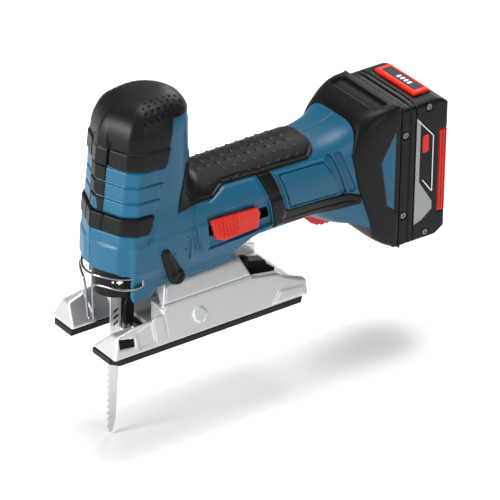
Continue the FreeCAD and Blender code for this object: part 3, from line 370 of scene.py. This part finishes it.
# ------------------------------------------------------------------ housing fields
HEAD_PLANES = [
    plane((-65, 12.5, 154), (-61, 22.5, 154), (-67.5, 17, 105)),
    plane((-61, 22.5, 154), (-54, 28.5, 154), (-61, 26, 105)),
    plane((-54, 28.5, 154), (-32, 30.5, 154), (-43, 29.8, 105)),
    plane((-32, 30.5, 154), (-20, 30.3, 154), (-26, 30.9, 105)),
    plane((-20, 30.3, 154), (-9, 22, 154), (-14.5, 26.5, 105)),
    plane((-9, 22, 154), (-3.5, 11, 154), (-6, 16.8, 105)),
    plane((-2.2, 0, 154), (-2.2, 10, 154), (-2.2, 0, 105)),
]
CHIN_PLANES = [
    plane((-76.5, 0, 80), (-76.5, 10, 80), (-77, 0, 60), (-40, 0, 70)),
    plane((-76.5, 9, 80), (-70, 23, 80), (-73.5, 16, 60), (-40, 0, 70)),
    plane((-70, 23, 80), (-60, 30, 80), (-65.3, 26.6, 60), (-40, 0, 70)),
    plane((-60, 30, 80), (-40, 30.8, 80), (-50, 30.2, 60), (-40, 0, 70)),
]
BACK_EDGE = [(-27.8, 172.8), (-31.7, 153.5), (-35, 139.9), (-39.4, 116.7), (-44.6, 106.3),
             (-48.7, 90.6), (-51.8, 81.5)]
BAND_ROWS = [(129.3, 139.2), (117.4, 127.5), (106, 115.6), (80.6, 91.2)]
COLUMN_HALF = 8.3
DOME_PEAK = 183.3


def dome_top(x, y, z):
    return z - DOME_PEAK + ((x + 34) / 40) ** 2 * 4 + (y / 30) ** 2 * 3


def head(x, y, z):
    """Upright grip with its dome, without bands."""
    ya = np.abs(y)
    sides = HEAD_PLANES[0](x, ya, z)
    for p, k in zip(HEAD_PLANES[1:], (0.8, 0.8, 2.5, 10, 8, 6)):
        sides = meet(k, sides, p(x, ya, z))
    round_ = 20 + 4 * np.clip((-30 - x) / 25, 0, 1)
    return meet(round_, sides, dome_top(x, y, z))


def column(x, y, z):
    """Ridged strip down the middle of the head's front."""
    lean = np.interp(z, [62, 105, 154], [-76.5, -75.3, -72])
    front = (lean - x) + np.abs(y) * 0.3
    body = meet(0.8, front, np.abs(y) - COLUMN_HALF, x + 50)
    return meet(30, body, dome_top(x, y, z) + 1.5)


def head_front(x, z):
    """Side-view region of the head in front of the line where its bands end."""
    low = [(-51.8, 60), (-100, 60), (-100, 200), (-27.8, 200)]
    return outline(x, z, low + BACK_EDGE)


HALF_WIDTH = curve([(-60, 31), (100, 31), (112, 30.4), (124, 30.8), (132, 32.2), (140, 33.2),
                    (152, 34), (170, 34)])
TOP = curve([(-60, 110.4), (104, 110.6), (120, 113), (128, 116), (136, 121), (144, 124), (152, 125),
             (170, 125)])
BOTTOM = curve([(-60, 49), (100, 49.5), (108, 44), (120, 37.5), (132, 35), (144, 27), (154, 19.5),
                (164, 14.5), (170, 14.5)])
SQUARE = curve([(-60, 2.4), (100, 2.5), (116, 3), (132, 4.2), (144, 7), (156, 11), (170, 12)])


def barrel(x, y, z):
    """Horizontal barrel that widens into the battery foot."""
    half, top, low, n = HALF_WIDTH(x), TOP(x), BOTTOM(x), SQUARE(x)
    mid, tall = (top + low) / 2, (top - low) / 2
    r = ((np.abs(y) / half) ** n + (np.abs(z - mid) / tall) ** n) ** (1 / n)
    return (r - 1) * np.minimum(half, tall) * 0.9


def chin(x, y, z):
    ya = np.abs(y)
    f = CHIN_PLANES[0](x, ya, z)
    for p in CHIN_PLANES[1:]:
        f = meet(1.0, f, p(x, ya, z))
    return meet(2, f, z - 82, 59.6 - z, x + 36)


def skirt(x, y, z):
    side = outline(x, z, [(-60, 70), (-60, 37), (-57.5, 34), (-46, 35), (-41.5, 43.5), (20, 45.5),
                          (27, 52), (40, 60), (62, 66), (62, 82), (-60, 82)])
    return meet(1.6, side, np.abs(y) - 27.6 - np.clip(z - 52, 0, 10) * 0.28)


def hull(x, y, z):
    """The whole blue casing before panels, slots and openings."""
    grip = meet(1, head(x, y, z), 64 - z)
    body = join(9, grip, meet(2, barrel(x, y, z), -42 - x, x - 164.6))
    body = join(4, body, chin(x, y, z))
    body = join(5, body, skirt(x, y, z))
    front = head_front(x, z)
    rows = None
    for z0, z1 in BAND_ROWS:
        out = 1.3 if z0 > 100 else 2.0
        row = meet(0.9, head(x, y, z) - out, front, between(z, z0, z1))
        rows = row if rows is None else np.minimum(rows, row)
    return smin(body, rows, 0.8)


LABEL = [(60.8, 102), (103, 101), (121.5, 70.6), (68, 73.2)]
CASING_WALL = 3.2
SADDLE_RAD, TUNNEL_RAD = 46.0, 37.0      # arch about the bevel axis
BEVEL_CLEAR = SADDLE_RAD + 0.6           # underside of the casing over the arch
LABEL_LINE = [(63.5, 100), (101.6, 99), (117.4, 72.6), (70.6, 75), (63.5, 100)]


def casing(x, y, z):
    """Hollow blue casing with its openings, recesses and raised lines, the same on both sides."""
    ya = np.abs(y)
    shell = body = hull(x, y, z)
    # raised panel round the switch
    panel = meet(1.2, body - 1.2, 18 - ya,
                 outline(x, z, [(-5, 64), (-12, 92), (-7, 99.5), (4, 98), (18, 104), (44, 103), (56, 66),
                                (50, 62)]))
    body = smin(body, panel, 0.8)
    # switch recess
    body = meet(0.9, body, -meet(0.9, outline(x, z, [(-1.6, 90.3), (51.2, 88), (55.6, 66.4), (11.3, 62.9),
                                                     (1, 62.5)]), 29.2 - ya))
    # label panel outline and louvres
    label = meet(0.6, body - 0.8, 12 - ya, outline(x, z, LABEL))
    body = np.minimum(body, label)
    body = meet(0.5, body, -np.maximum(ribbon(x, z, LABEL_LINE, 0.8), -0.4 - shell))
    for a, b in (((107.3, 100), (117.5, 72)), ((114.7, 100), (125.5, 72))):
        body = meet(0.8, body, -meet(0.8, ribbon(x, z, [a, b], 4.8), -1.6 - shell))
    body = smin(body, meet(0.6, shell - 1.1, 20 - ya, ribbon(x, z, [(-15, 61), (-15, 76)], 1.6)), 0.6)
    for mark in ((-29, 70), (-20, 71), (-17.5, 80)):
        body = meet(0.3, body, -np.maximum(np.hypot(x - mark[0], z - mark[1]) - 0.9, -0.7 - shell))
    for rib in (-10, -7, -4):
        line = ribbon(x, z, [(rib, 66), (rib - 3, 84)], 1.1)
        body = smin(body, meet(0.5, shell - 0.9, 22 - ya, line), 0.5)
    # open end that the battery's rails slide in
    body = meet(0.8, body, -meet(3, 158.5 - x, ya - 31.4, between(z, 17.5, 121.5)))
    # bevel slot over the saddle and the bay round the blade
    body = meet(0.8, body, BEVEL_CLEAR - np.hypot(y, z))
    bay = meet(2, between(x, -90, -37.5), ya - 23.6, z - 61.5)
    body = meet(1.0, body, -bay)
    holder_way = meet(1, between(x, -65, -44), ya - 9, z - 67)
    body = meet(1.0, body, -holder_way)
    return np.maximum(body, -(shell + CASING_WALL))


left = skin("casing_left", lambda x, y, z: meet(0.5, casing(x, y, z), y + 0.12), (-84, -42, 30),
            (168, 1, 188), 0.8)
right = mirrored(left, "casing_right")
place(left, "housing", M["blue_nylon"], "blue_nylon", "housing_left")
place(right, "housing", M["blue_nylon"], "blue_nylon", "housing_right")

# ------------------------------------------------------------------ knob cap and front grip


def cap(x, y, z):
    """Black soft cover of the dome with its band, dimpled on the shoulders."""
    front = head_front(x, z)
    above = outline(x, z, [(-100, 153.2), (-31.7, 153.2), (-27.8, 172.6), (-8, 170.5), (10, 171),
                           (10, 200), (-100, 200)])
    body = head(x, y, z)
    dome = meet(1.4, body - 1.1, above)
    strip = meet(1.4, column(x, y, z), above)
    dome = join(1.2, dome, strip)
    band = meet(1.6, body - 2.4, front, between(z, 140.3, 153.6))
    for row in range(4):
        for i in range(7 if row < 3 else 6):
            t = i / 6.0
            cx = -49 + 30 * t + row * 1.6
            cy = -(25.5 - row * 3.9)
            dot = np.sqrt((x - cx - 2 * (row % 2)) ** 2 + (np.abs(y) + cy) ** 2) - 0.85
            dome = meet(0.4, dome, -np.maximum(np.maximum(dot, 172 - z), 0.35 - body))
    gap = np.maximum(np.abs(np.abs(y) - COLUMN_HALF - 1.1) - 0.9, x + 57)
    cut = np.maximum(np.maximum(gap, 0.3 - body), z - 158)
    return meet(0.4, np.minimum(dome, band), -cut)


place(skin("knob_cover", cap, (-80, -36, 138), (2, 36, 187), 0.7), "housing", M["black_rubber"],
      "black_rubber", "knob_cap")


def front_grip(x, y, z):
    """Lower band and the blocks of the front strip."""
    front = head_front(x, z)
    body = head(x, y, z)
    band = meet(1.6, body - 3.0, front, between(z, 92, 104.8))
    bed = meet(0.8, column(x, y, z) + 2.4, between(z, 92, 141), np.abs(y) - 10.6)
    blocks = None
    for z0, z1 in ((128.8, 139.6), (117, 127.4), (105.6, 115.8), (92.2, 104.2)):
        block = meet(0.8, column(x, y, z) - (1.2 if z0 < 100 else 0), between(z, z0, z1))
        blocks = block if blocks is None else np.minimum(blocks, block)
    gap = np.maximum(np.abs(np.abs(y) - COLUMN_HALF - 1.0) - 0.8, x + 60)
    cut = np.maximum(gap, 0.4 - body)
    return np.minimum(meet(0.4, band, -cut), np.minimum(bed, blocks))


place(skin("front_strip", front_grip, (-84, -36, 90), (-36, 36, 143), 0.7), "housing",
      M["black_rubber"], "black_rubber", "front_grip_rubber")

# ------------------------------------------------------------------ grip rubber on the barrel


def grip_side(x, z):
    """Side view of the rubber; its lower edge follows the surface round the barrel."""
    return outline(x, z, [(-2, 140), (-9, 134), (-14.9, 133.5), (-25.8, 99.4), (-5.4, 99.8), (6.4, 99.4),
                          (19, 104.6), (90, 103.2), (97, 106), (101.5, 111), (101.5, 140)])


def grip(x, y, z):
    body = join(9, meet(1, head(x, y, z), 64 - z), barrel(x, y, z))
    shell = meet(1.3, body - 0.9, grip_side(x, z))
    inner = [(-19, 118), (-9.5, 102.6), (7.5, 102.4), (19, 107.2), (91, 105.6), (97, 109)]
    shell = meet(0.5, shell, -np.maximum(ribbon(x, z, inner, 0.9), 0.3 - body))
    along = (x + 3.5) % 8.5 - 4.25
    for half in (4, 12.5, 20):
        dot = np.hypot(along, np.abs(y) - half) - 1.0
        shell = np.minimum(shell, meet(0.5, dot, body - 1.35, np.maximum(2 - x, x - 92), 104 - z))
    return shell


place(skin("top_grip", grip, (-32, -34, 92), (104, 34, 142), 0.8), "housing", M["black_rubber"],
      "black_rubber", "top_grip_rubber")

# ------------------------------------------------------------------ foot cover


def foot_cover(x, y, z):
    ya = np.abs(y)
    body = meet(2.5, barrel(x, y, z) - 1.7, ya - 35.6, x - 164.9)
    side = outline(x, z, [(131, 140), (133.6, 126), (124.3, 98.1), (129.5, 71.5), (141.1, 37.9), (148, 8),
                          (180, 8), (180, 140)])
    window = outline(x, z, [(180, 124), (164.9, 116.1), (148.4, 86.8), (154.5, 50.3), (164.3, 42.4),
                            (180, 30)])
    shell = meet(2.4, body, side)
    shell = meet(1.6, shell, -meet(2, window, 31.5 - ya))
    shell = meet(0.6, shell, -np.maximum(ribbon(x, z, [(156.2, 79.5), (157.4, 74.5)], 1.5), 33.6 - ya))
    step = meet(1.2, between(x, 146, 157), 124.2 - z, ya - 26)
    return meet(1.0, shell, -np.maximum(step, 0.4 - barrel(x, y, z)))


place(skin("foot_cover", foot_cover, (120, -41, 12), (167, 41, 130), 0.8), "housing",
      M["black_rubber"], "black_rubber", "foot_overmould")

# ------------------------------------------------------------------ side trim and switch sliders
STRIP = [(46.6, 104), (57.6, 104), (66.4, 74), (122, 69.4), (132, 65.6), (132, 58.6), (102, 58.2),
         (58, 60.4), (56.6, 66), (52.4, 88)]


def strip(x, y, z):
    body = hull(x, y, z)
    out = meet(1.0, body - 1.1, outline(x, z, STRIP), 12 - np.abs(y), -2.4 - body)
    lines = ribbon(x, z, [(62, 66.5), (120, 64), (128, 62)], 0.9)
    return meet(0.5, out, -np.maximum(lines, 0.5 - body))


trim_near = skin("trim_near", lambda x, y, z: meet(0.3, strip(x, y, z), y + 6), (42, -36, 54),
                 (136, -4, 108), 0.7)
trim_far = mirrored(trim_near, "trim_far")
place(trim_near, "housing", M["black_plastic"], "black_plastic", "side_trim")
place(trim_far, "housing", M["black_plastic"], "black_plastic", "side_trim")


def slider(x, y, z):
    """Red slide switch pad, ribbed over its front part."""
    side = outline(x, z, [(1.2, 85.6), (41.5, 84), (44.4, 79), (43, 67.2), (14, 66), (6, 70)])
    wave = np.abs((x + 0.16 * z) % 3.0 - 1.5)
    front = outline(x, z, [(4, 83.8), (26, 83), (26, 68.4), (15, 68), (8.4, 71)])
    ribbed = meet(0.8, front, -y - 33.3, wave - 0.8)
    return join(0.6, meet(1.2, side, -y - 32.3, y + 29.5), meet(0.3, ribbed, y + 31))


pad = skin("slider_left", slider, (-1, -35, 63), (48, -28, 88), 0.45)
pad_far = mirrored(pad, "slider_right")
place(pad, "slide_switch", M["red_plastic"], "red_plastic", "switch_slider_left")
place(pad_far, "slide_switch", M["red_plastic"], "red_plastic", "switch_slider_right")

# ------------------------------------------------------------------ casing screws
SCREW_RAD = 2.9
SHELL_SCREWS = [(-20, 84), (-20, 122), (60, 90), (92, 76), (118, 80)]


def screws(x, y, z):
    """Screw heads lying in the surface of the far half."""
    body = hull(x, y, z)
    heads = None
    for sx, sz in SHELL_SCREWS:
        r = np.hypot(x - sx, z - sz)
        head = np.maximum(r - SCREW_RAD, -np.maximum(r - 1.3, -0.8 - body))
        heads = head if heads is None else np.minimum(heads, head)
    return meet(0.3, heads, body - 0.9, -1.8 - body, 14 - y)


place(skin("shell_screws", screws, (-24, 12, 72), (122, 35, 126), 0.5), "housing", M["tool_steel"],
      "tool_steel", "housing_screws")

# ------------------------------------------------------------------ battery pack
SEAM, PACK_HALF = 177.6, 34.3
PACK_SCREWS = [(168.8, 102.6), (168.8, 38), (189.1, 119.5), (189.1, 18.5)]


def pack(x, y, z):
    ya = np.abs(y)
    side = outline(x, z, [(150, 13.2), (198.8, 13.2), (206.8, 18.3), (206.8, 118.6), (198, 126),
                          (150, 126)])
    crown = z - 125.3 + np.maximum(ya - 22, 0) * 0.2
    body = meet(3, side, ya - PACK_HALF, crown)
    for sx, sz in PACK_SCREWS:
        body = meet(0.5, body, -np.maximum(np.hypot(x - sx, z - sz) - SCREW_RAD - 0.6, y + 32.6))
    return body


def pack_shell(x, y, z):
    ya = np.abs(y)
    body = meet(0.9, pack(x, y, z), SEAM + 0.25 - x)
    well = meet(0.6, between(x, 182.6, 198.4), ya - 23.9, 122.6 - z)
    body = meet(0.6, body, -well)
    grip_well = meet(0.6, 199 - x, 26 - ya, between(z, 31.5, 98.5), -1.2 - pack(x, y, z))
    body = meet(0.6, body, -grip_well)
    rear = np.maximum(ribbon(y, z, [(-22, 24), (-22, 112), (22, 112), (22, 24), (-22, 24)], 1.0), 205.9 - x)
    return meet(0.5, body, -rear)


def pack_front(x, y, z):
    ya = np.abs(y)
    body = meet(0.9, pack(x, y, z), x - SEAM + 0.25, 166.4 - x)
    return meet(0.8, body, -meet(0.6, between(x, 172.2, 173.4), np.minimum(33.4 - ya, 123.6 - z)))


def pack_grip(x, y, z):
    """Ribbed red strips down the rear corners."""
    body = meet(0.8, pack(x, y, z) - 0.1, 199.4 - x, between(z, 32, 98), 26.4 - np.abs(y))
    ridge = np.abs((x - 199.4) % 2.5 - 1.25) - 0.7
    return np.minimum(meet(0.4, body, pack(x, y, z) + 0.8), meet(0.4, body, ridge))


place(skin("pack_shell", pack_shell, (175, -37, 10), (209, 37, 129), 0.8), "battery_pack",
      M["black_plastic"], "black_plastic", "battery_case")
place(skin("pack_front", pack_front, (164, -37, 10), (180, 37, 129), 0.8), "battery_pack",
      M["black_plastic"], "black_plastic", "battery_case")
place(skin("pack_grip", pack_grip, (197, -37, 29), (209, 37, 101), 0.6), "battery_pack",
      M["red_plastic"], "red_plastic")


def latch(x, y, z):
    ya = np.abs(y)
    body = meet(1.8, between(x, 183.2, 197.8), ya - 23.3, between(z, 123.9, 127.3))
    return meet(0.5, body, -meet(0.4, between(x, 186.7, 195.3), ya - 18.9, 125.7 - z))


place(skin("latch_frame", latch, (181, -25, 122), (200, 25, 129), 0.5), "pack_latch",
      M["red_plastic"], "red_plastic", "latch_button")


def plates(name, outlines, depth, near=True):
    """Thin printed plates in the XZ plane, just proud of a flat side."""
    y0, y1 = (-depth - 0.18, -depth + 0.3) if near else (depth - 0.3, depth + 0.18)
    return merged(name, *[prism(name + "_bit", "XZ", o, y0, y1, 0) for o in outlines])


def bar(a, b, width):
    """Outline of a straight bar between two points."""
    ux, uz = b[0] - a[0], b[1] - a[1]
    scale = width / 2 / math.hypot(ux, uz)
    nx, nz = -uz * scale, ux * scale
    return [(a[0] + nx, a[1] + nz), (b[0] + nx, b[1] + nz), (b[0] - nx, b[1] - nz), (a[0] - nx, a[1] - nz)]


def round_box(x0, x1, z0, z1, r, n=5):
    out = []
    corners = ((x1 - r, z1 - r, 0), (x0 + r, z1 - r, 1), (x0 + r, z0 + r, 2), (x1 - r, z0 + r, 3))
    for cx, cz, start in corners:
        for i in range(n + 1):
            t = math.pi / 2 * (start + i / n)
            out.append((cx + r * math.cos(t), cz + r * math.sin(t)))
    return out


LABEL_PLATE = [(178.5, 113.4), (181.8, 109.6), (181.9, 61.1), (194, 42.5), (194, 36.2), (185, 29.5),
               (178.6, 27.5)]
for side, near in (("near", True), ("far", False)):
    place(plates("pack_label_" + side, [LABEL_PLATE], PACK_HALF, near), "battery_pack", M["label_grey"],
          "black_plastic")
    edge = [(179.4, 111.6), (193.5, 95.7), (193.7, 50.6), (185, 62)]
    lines = [bar(a, b, 0.6) for a, b in zip(edge, edge[1:])]
    place(plates("pack_print_" + side, lines, PACK_HALF + 0.12, near), "battery_pack",
          M["print_white"], "black_plastic")
    place(plates("pack_badge_" + side, [round_box(184.2, 189.4, 84, 98, 1.4)],
                 PACK_HALF + 0.12, near), "battery_pack", M["red_plastic"], "red_plastic")

gauge_bits = []
for y in (-9, -5, -1, 3):
    bit = [(189.4, y), (193, y), (193, y + 2.2), (189.4, y + 2.2)]
    gauge_bits.append(prism("gauge_bit", "XY", bit, 126.8, 127.02, 0))
gauge = merged("gauge_marks", *gauge_bits)
place(gauge, "pack_latch", M["print_white"], "black_plastic")

# ------------------------------------------------------------------ base plate and saddle
RIDGE = [(-84, 6), (-78, 18.6), (-67.4, 20.3), (-41, 26.4), (-38, 27.2), (41, 27.2), (62, 23.6), (66, 20.6),
         (85, 13.6)]


def flank(y, z):
    """Sloping outer face of the rails, from the sole's edge in to the ridge."""
    return (np.abs(y) - 39.1) * 0.932 + (z - 4.0) * 0.36


def rails(x, y, z):
    ya = np.abs(y)
    ridge = z - np.interp(x, *zip(*RIDGE))
    nose = (x + 84) * -0.93 + (z - 2) * 0.368
    lean = np.interp(x, [-64, -62, -47, -45], [7.0, 9.4, 9.4, 7.0])
    arms = meet(0.8, np.maximum(13.2 - ya, (z + lean - ya) * 0.707), x + 36)
    deck = meet(1.5, -37.5 - x, np.minimum(z - 8, 24.5 - ya + np.clip(x - 60, 0, 8) * 0.4))
    inside = np.minimum(arms, deck)
    tail = meet(1.5, flank(y, z), inside, x - 84.8 + np.maximum(ya - 31, 0) * 0.3)
    body = meet(1.3, tail, ridge, nose, 4.02 - z)
    # recesses and raised details of the outer face
    body = meet(0.8, body, -meet(0.6, outline(x, z, POCKET), -2.6 - flank(y, z)))
    body = meet(0.8, body, -meet(0.8, outline(x, z, [(-61, 17.8), (-47, 21), (-47, 8), (-61, 7)]),
                                 -0.9 - flank(y, z)))
    disc = meet(0.4, np.hypot(x + 8.3, (z - 15.9) / 0.932) - 5.4, flank(y, z) - 0.6, -2 - flank(y, z))
    body = np.minimum(body, disc)
    rear = meet(0.8, outline(x, z, [(52, 5.5), (60, 13), (79, 11.6), (79, 5.5)]), flank(y, z) - 0.9,
                -2 - flank(y, z))
    body = smin(body, rear, 0.6)
    hollow = meet(1, between(x, 46, 59), ya - 20, between(z, 8, 40))
    return meet(1, body, -hollow)


POCKET = [(-76.3, 17.0), (-64.2, 14.7), (-64.4, 9), (-76.9, 10.2)]


def saddle(x, y, z):
    ya = np.abs(y)
    r = np.hypot(y, z)
    cheek = (ya - 30) * 0.865 + (z - 27.4) * 0.5
    front = (-36.0 - x) * 0.9 + (z - 27) * 0.45
    rear = (x - 40.5) * 0.92 + (z - 27) * 0.38
    arch = meet(1.4, cheek, r - SADDLE_RAD, front, rear, 25 - z)
    tunnel = meet(2, r - TUNNEL_RAD, -100 - x)
    body = meet(1, arch, -tunnel)
    foot = meet(1.2, between(x, -36.5, 36), between(ya, 15, 29.5), between(z, 7.8, 27), flank(y, z) + 2)
    body = smin(body, foot, 2)
    line = np.maximum(ribbon(x, z, [(-34, 29.2), (37.6, 29.2)], 0.8), -0.5 - cheek)
    return meet(0.5, body, -line)


place(skin("plate_casting", rails, (-86, -41, 3), (87, 41, 30), 0.8), "base_assembly", M["cast_alloy"],
      "cast_alloy", "base_plate")
place(skin("saddle_casting", saddle, (-42, -34, 6), (44, 34, 48), 0.8), "base_assembly", M["cast_alloy"],
      "cast_alloy", "saddle")


# Black fill set into the pocket on the rails' outer face: painted shade for the dark inside of the pocket.
def pocket_shade_fill(x, y, z):
    return meet(0.4, outline(x, z, POCKET) - 0.4, flank(y, z) + 1.3, -4 - flank(y, z))


place(skin("pocket_shade_fill", pocket_shade_fill, (-80, -41, 6), (-60, 41, 20), 0.6), "base_assembly",
      M["black_plastic"], "black_plastic")

# ------------------------------------------------------------------ guide and lever


def bracket(x, y, z):
    """Forked arm that carries the roller behind the blade."""
    ya = np.abs(y)
    arm = meet(1, outline(x, z, [(-48.4, 55), (-48.4, 26), (-50.6, 22), (-50.4, 10),
                                 (-48.6, 1.8), (-43.8, 2.4), (-42.4, 9), (-42, 30), (-43.9, 55)]),
               ya - np.where(z > 44, 7.9, 3.9))
    eye = np.hypot(x + 47.6, z - 5) - 5.0
    gap = np.maximum(ya - 2.75, eye)
    pins = np.minimum(np.hypot(x + 47.6, z - 5) - 1.3, np.hypot(x + 46.5, z - 51) - 2.1)
    return meet(0.6, arm, -gap, -pins)


place(skin("guide_arm", bracket, (-54, -9, 0), (-40, 9, 57), 0.6), "guide", M["black_plastic"],
      "black_plastic", "guide_fork")


def capsule(x, z, a, b, ra, rb):
    ux, uz = b[0] - a[0], b[1] - a[1]
    t = np.clip(((x - a[0]) * ux + (z - a[1]) * uz) / (ux * ux + uz * uz), 0, 1)
    return np.hypot(x - a[0] - ux * t, z - a[1] - uz * t) - (ra + (rb - ra) * t)


def orbit(x, y, z):
    face = capsule(x, z, (-28.2, 52.6), (-37.2, 72.8), 6.4, 3.6)
    body = meet(2.2, face, -35.6 - y, y + 31.6)
    hub = meet(1.4, np.hypot(x + 27.8, z - 52.5) - 5.2, -37.4 - y, y + 32)
    body = join(1.6, body, hub)
    ridge = meet(0.8, ribbon(x, z, [(-30, 58), (-36.8, 72.6)], 2.2), -36.9 - y, y + 33)
    body = join(0.8, body, ridge)
    return meet(0.5, body, -np.maximum(ribbon(x, z, [(-30.4, 50), (-25.4, 55)], 1.3), y + 36.6))


place(skin("orbit_handle", orbit, (-44, -39, 44), (-19, -30, 79), 0.5), "orbit_selector",
      M["black_plastic"], "black_plastic", "orbit_lever")

# ------------------------------------------------------------------ blade, wire guard and collar arrow
PITCH, TEETH = 5.2, 14
edge = []
for i in range(TEETH):
    z0 = -3 - PITCH * i
    edge += [(-60.4 - 0.06 * i, z0), (-62.6 - 0.04 * i, z0 - PITCH + 1.2),
             (-60.5 - 0.06 * i, z0 - PITCH + 0.5)]
blade = prism("blade", "XZ", [(-51.3, 46), (-51.6, -4), (-55.6, -70), (-58.4, -79.6), (-60.9, -79.8)]
              + edge[::-1] + [(-60.2, 10), (-60.2, 46)], -0.72, 0.72, 0.12, 1)
place(blade, "plunger", M["blade_steel"], "blade_steel", "saw_blade")
mark_bits = []
for z in (6, 11, 16):
    bit = [(-57.8, z), (-53.8, z + 2.4), (-53.8, z + 4.4), (-57.8, z + 2)]
    mark_bits.append(prism("mark_bit", "XZ", bit, -0.76, 0.76, 0))
shank = merged("blade_marks", *mark_bits)
place(shank, "plunger", M["black_plastic"], "black_plastic")

HALF_WIRE = [(-76, 0, 16.8), (-76, -3, 16.8), (-76.6, -3.6, 19), (-78, -4.2, 41), (-78.6, -5.6, 49.6),
             (-76, -13, 50.4),
             (-69, -25, 50), (-62, -28.6, 49.8), (-56, -28.8, 49.9), (-52.4, -28.6, 50.6), (-52, -27.6, 54),
             (-54, -27, 57.4), (-60, -27, 57.2), (-69, -22, 57), (-77, -11, 57.4), (-79.6, -4, 57.4),
             (-80, 0, 57.4)]
wire = merged("guard_wire", swept("wire_near", HALF_WIRE, 0.9),
              swept("wire_far", [(x, -y, z) for x, y, z in HALF_WIRE], 0.9))
shade(wire, 0)
place(wire, "housing", M["chrome_wire"], "chrome_wire", "wire_guard")

ARROW = [(-4, -0.7), (0.6, -0.7), (0.6, -2), (4, 0), (0.6, 2), (0.6, 0.7), (-4, 0.7)]
RING_RAD, RING_MID, ARROW_TURN = 17.62, 50, math.radians(238)
arrow_pts = []
for rad in (RING_RAD, RING_RAD - 0.5):
    for u, v in ARROW:
        t = ARROW_TURN + u / RING_RAD
        arrow_pts.append((-55 + rad * math.cos(t), rad * math.sin(t), RING_MID + v))
sides = len(ARROW)
arrow = mesh_piece("collar_arrow", arrow_pts, [list(range(sides)), list(range(sides, 2 * sides))[::-1]]
                   + [[i, sides + i, sides + (i + 1) % sides, (i + 1) % sides] for i in range(sides)])
place(arrow, "release_ring", M["print_white"], "black_plastic")

# ------------------------------------------------------------------ camera, light and floor
TARGET = Vector((0.05236, -0.0097, 0.0359))
BACK = Vector((-0.5167, -0.6974, 0.4966)).normalized()
ROLL = math.radians(1.13)
DISTANCE, LENS = 3.683, 377.6            # metres, millimetres
right0 = Vector((0, 0, 1)).cross(BACK).normalized()
up0 = BACK.cross(right0)
right_v = right0 * math.cos(ROLL) + up0 * math.sin(ROLL)
up_v = -right0 * math.sin(ROLL) + up0 * math.cos(ROLL)
eye = TARGET + BACK * DISTANCE
cam_data = bpy.data.cameras.new("camera")
cam_data.lens, cam_data.sensor_width, cam_data.clip_end = LENS, 36, 50
cam = bpy.data.objects.new("camera", cam_data)
cam.matrix_world = Matrix(((right_v.x, up_v.x, BACK.x, eye.x), (right_v.y, up_v.y, BACK.y, eye.y),
                           (right_v.z, up_v.z, BACK.z, eye.z), (0, 0, 0, 1)))
bpy.context.scene.collection.objects.link(cam)
bpy.context.scene.camera = cam


def lamp(name, place_, power, size, colour=(1, 1, 1)):
    data = bpy.data.lights.new(name, "AREA")
    data.energy, data.size, data.color = power, size, colour
    obj = bpy.data.objects.new(name, data)
    obj.location = place_
    obj.rotation_euler = (TARGET - Vector(place_)).to_track_quat("-Z", "Y").to_euler()
    bpy.context.scene.collection.objects.link(obj)


lamp("key_left", (-2.1, 0.1, 0.8), 62, 0.7)
lamp("top", (0.2, 0.1, 1.9), 34, 1.0)
lamp("front_fill", (0.2, -2.3, 0.9), 14, 1.2)
lamp("rear_rim", (1.4, 0.9, 0.9), 10, 0.8)
world = bpy.data.worlds.new("studio")
world.use_nodes = True
world.node_tree.nodes["Background"].inputs["Color"].default_value = (1, 1, 1, 1)
world.node_tree.nodes["Background"].inputs["Strength"].default_value = 0.34
bpy.context.scene.world = world
bpy.context.scene.view_settings.view_transform = "Standard"

FLOOR_Z = -0.0815                         # just under the blade tip
bm = bmesh.new()
bmesh.ops.create_grid(bm, x_segments=8, y_segments=8, size=6)
floor_mesh = bpy.data.meshes.new("floor")
bm.to_mesh(floor_mesh)
bm.free()
floor = bpy.data.objects.new("floor", floor_mesh)
floor.location = (0, 0, FLOOR_Z)
floor_mesh.materials.append(finish_material("floor_paint", (0.9, 0.9, 0.9), 0.6, vary=0.01, grain=0.05))
bpy.context.scene.collection.objects.link(floor)
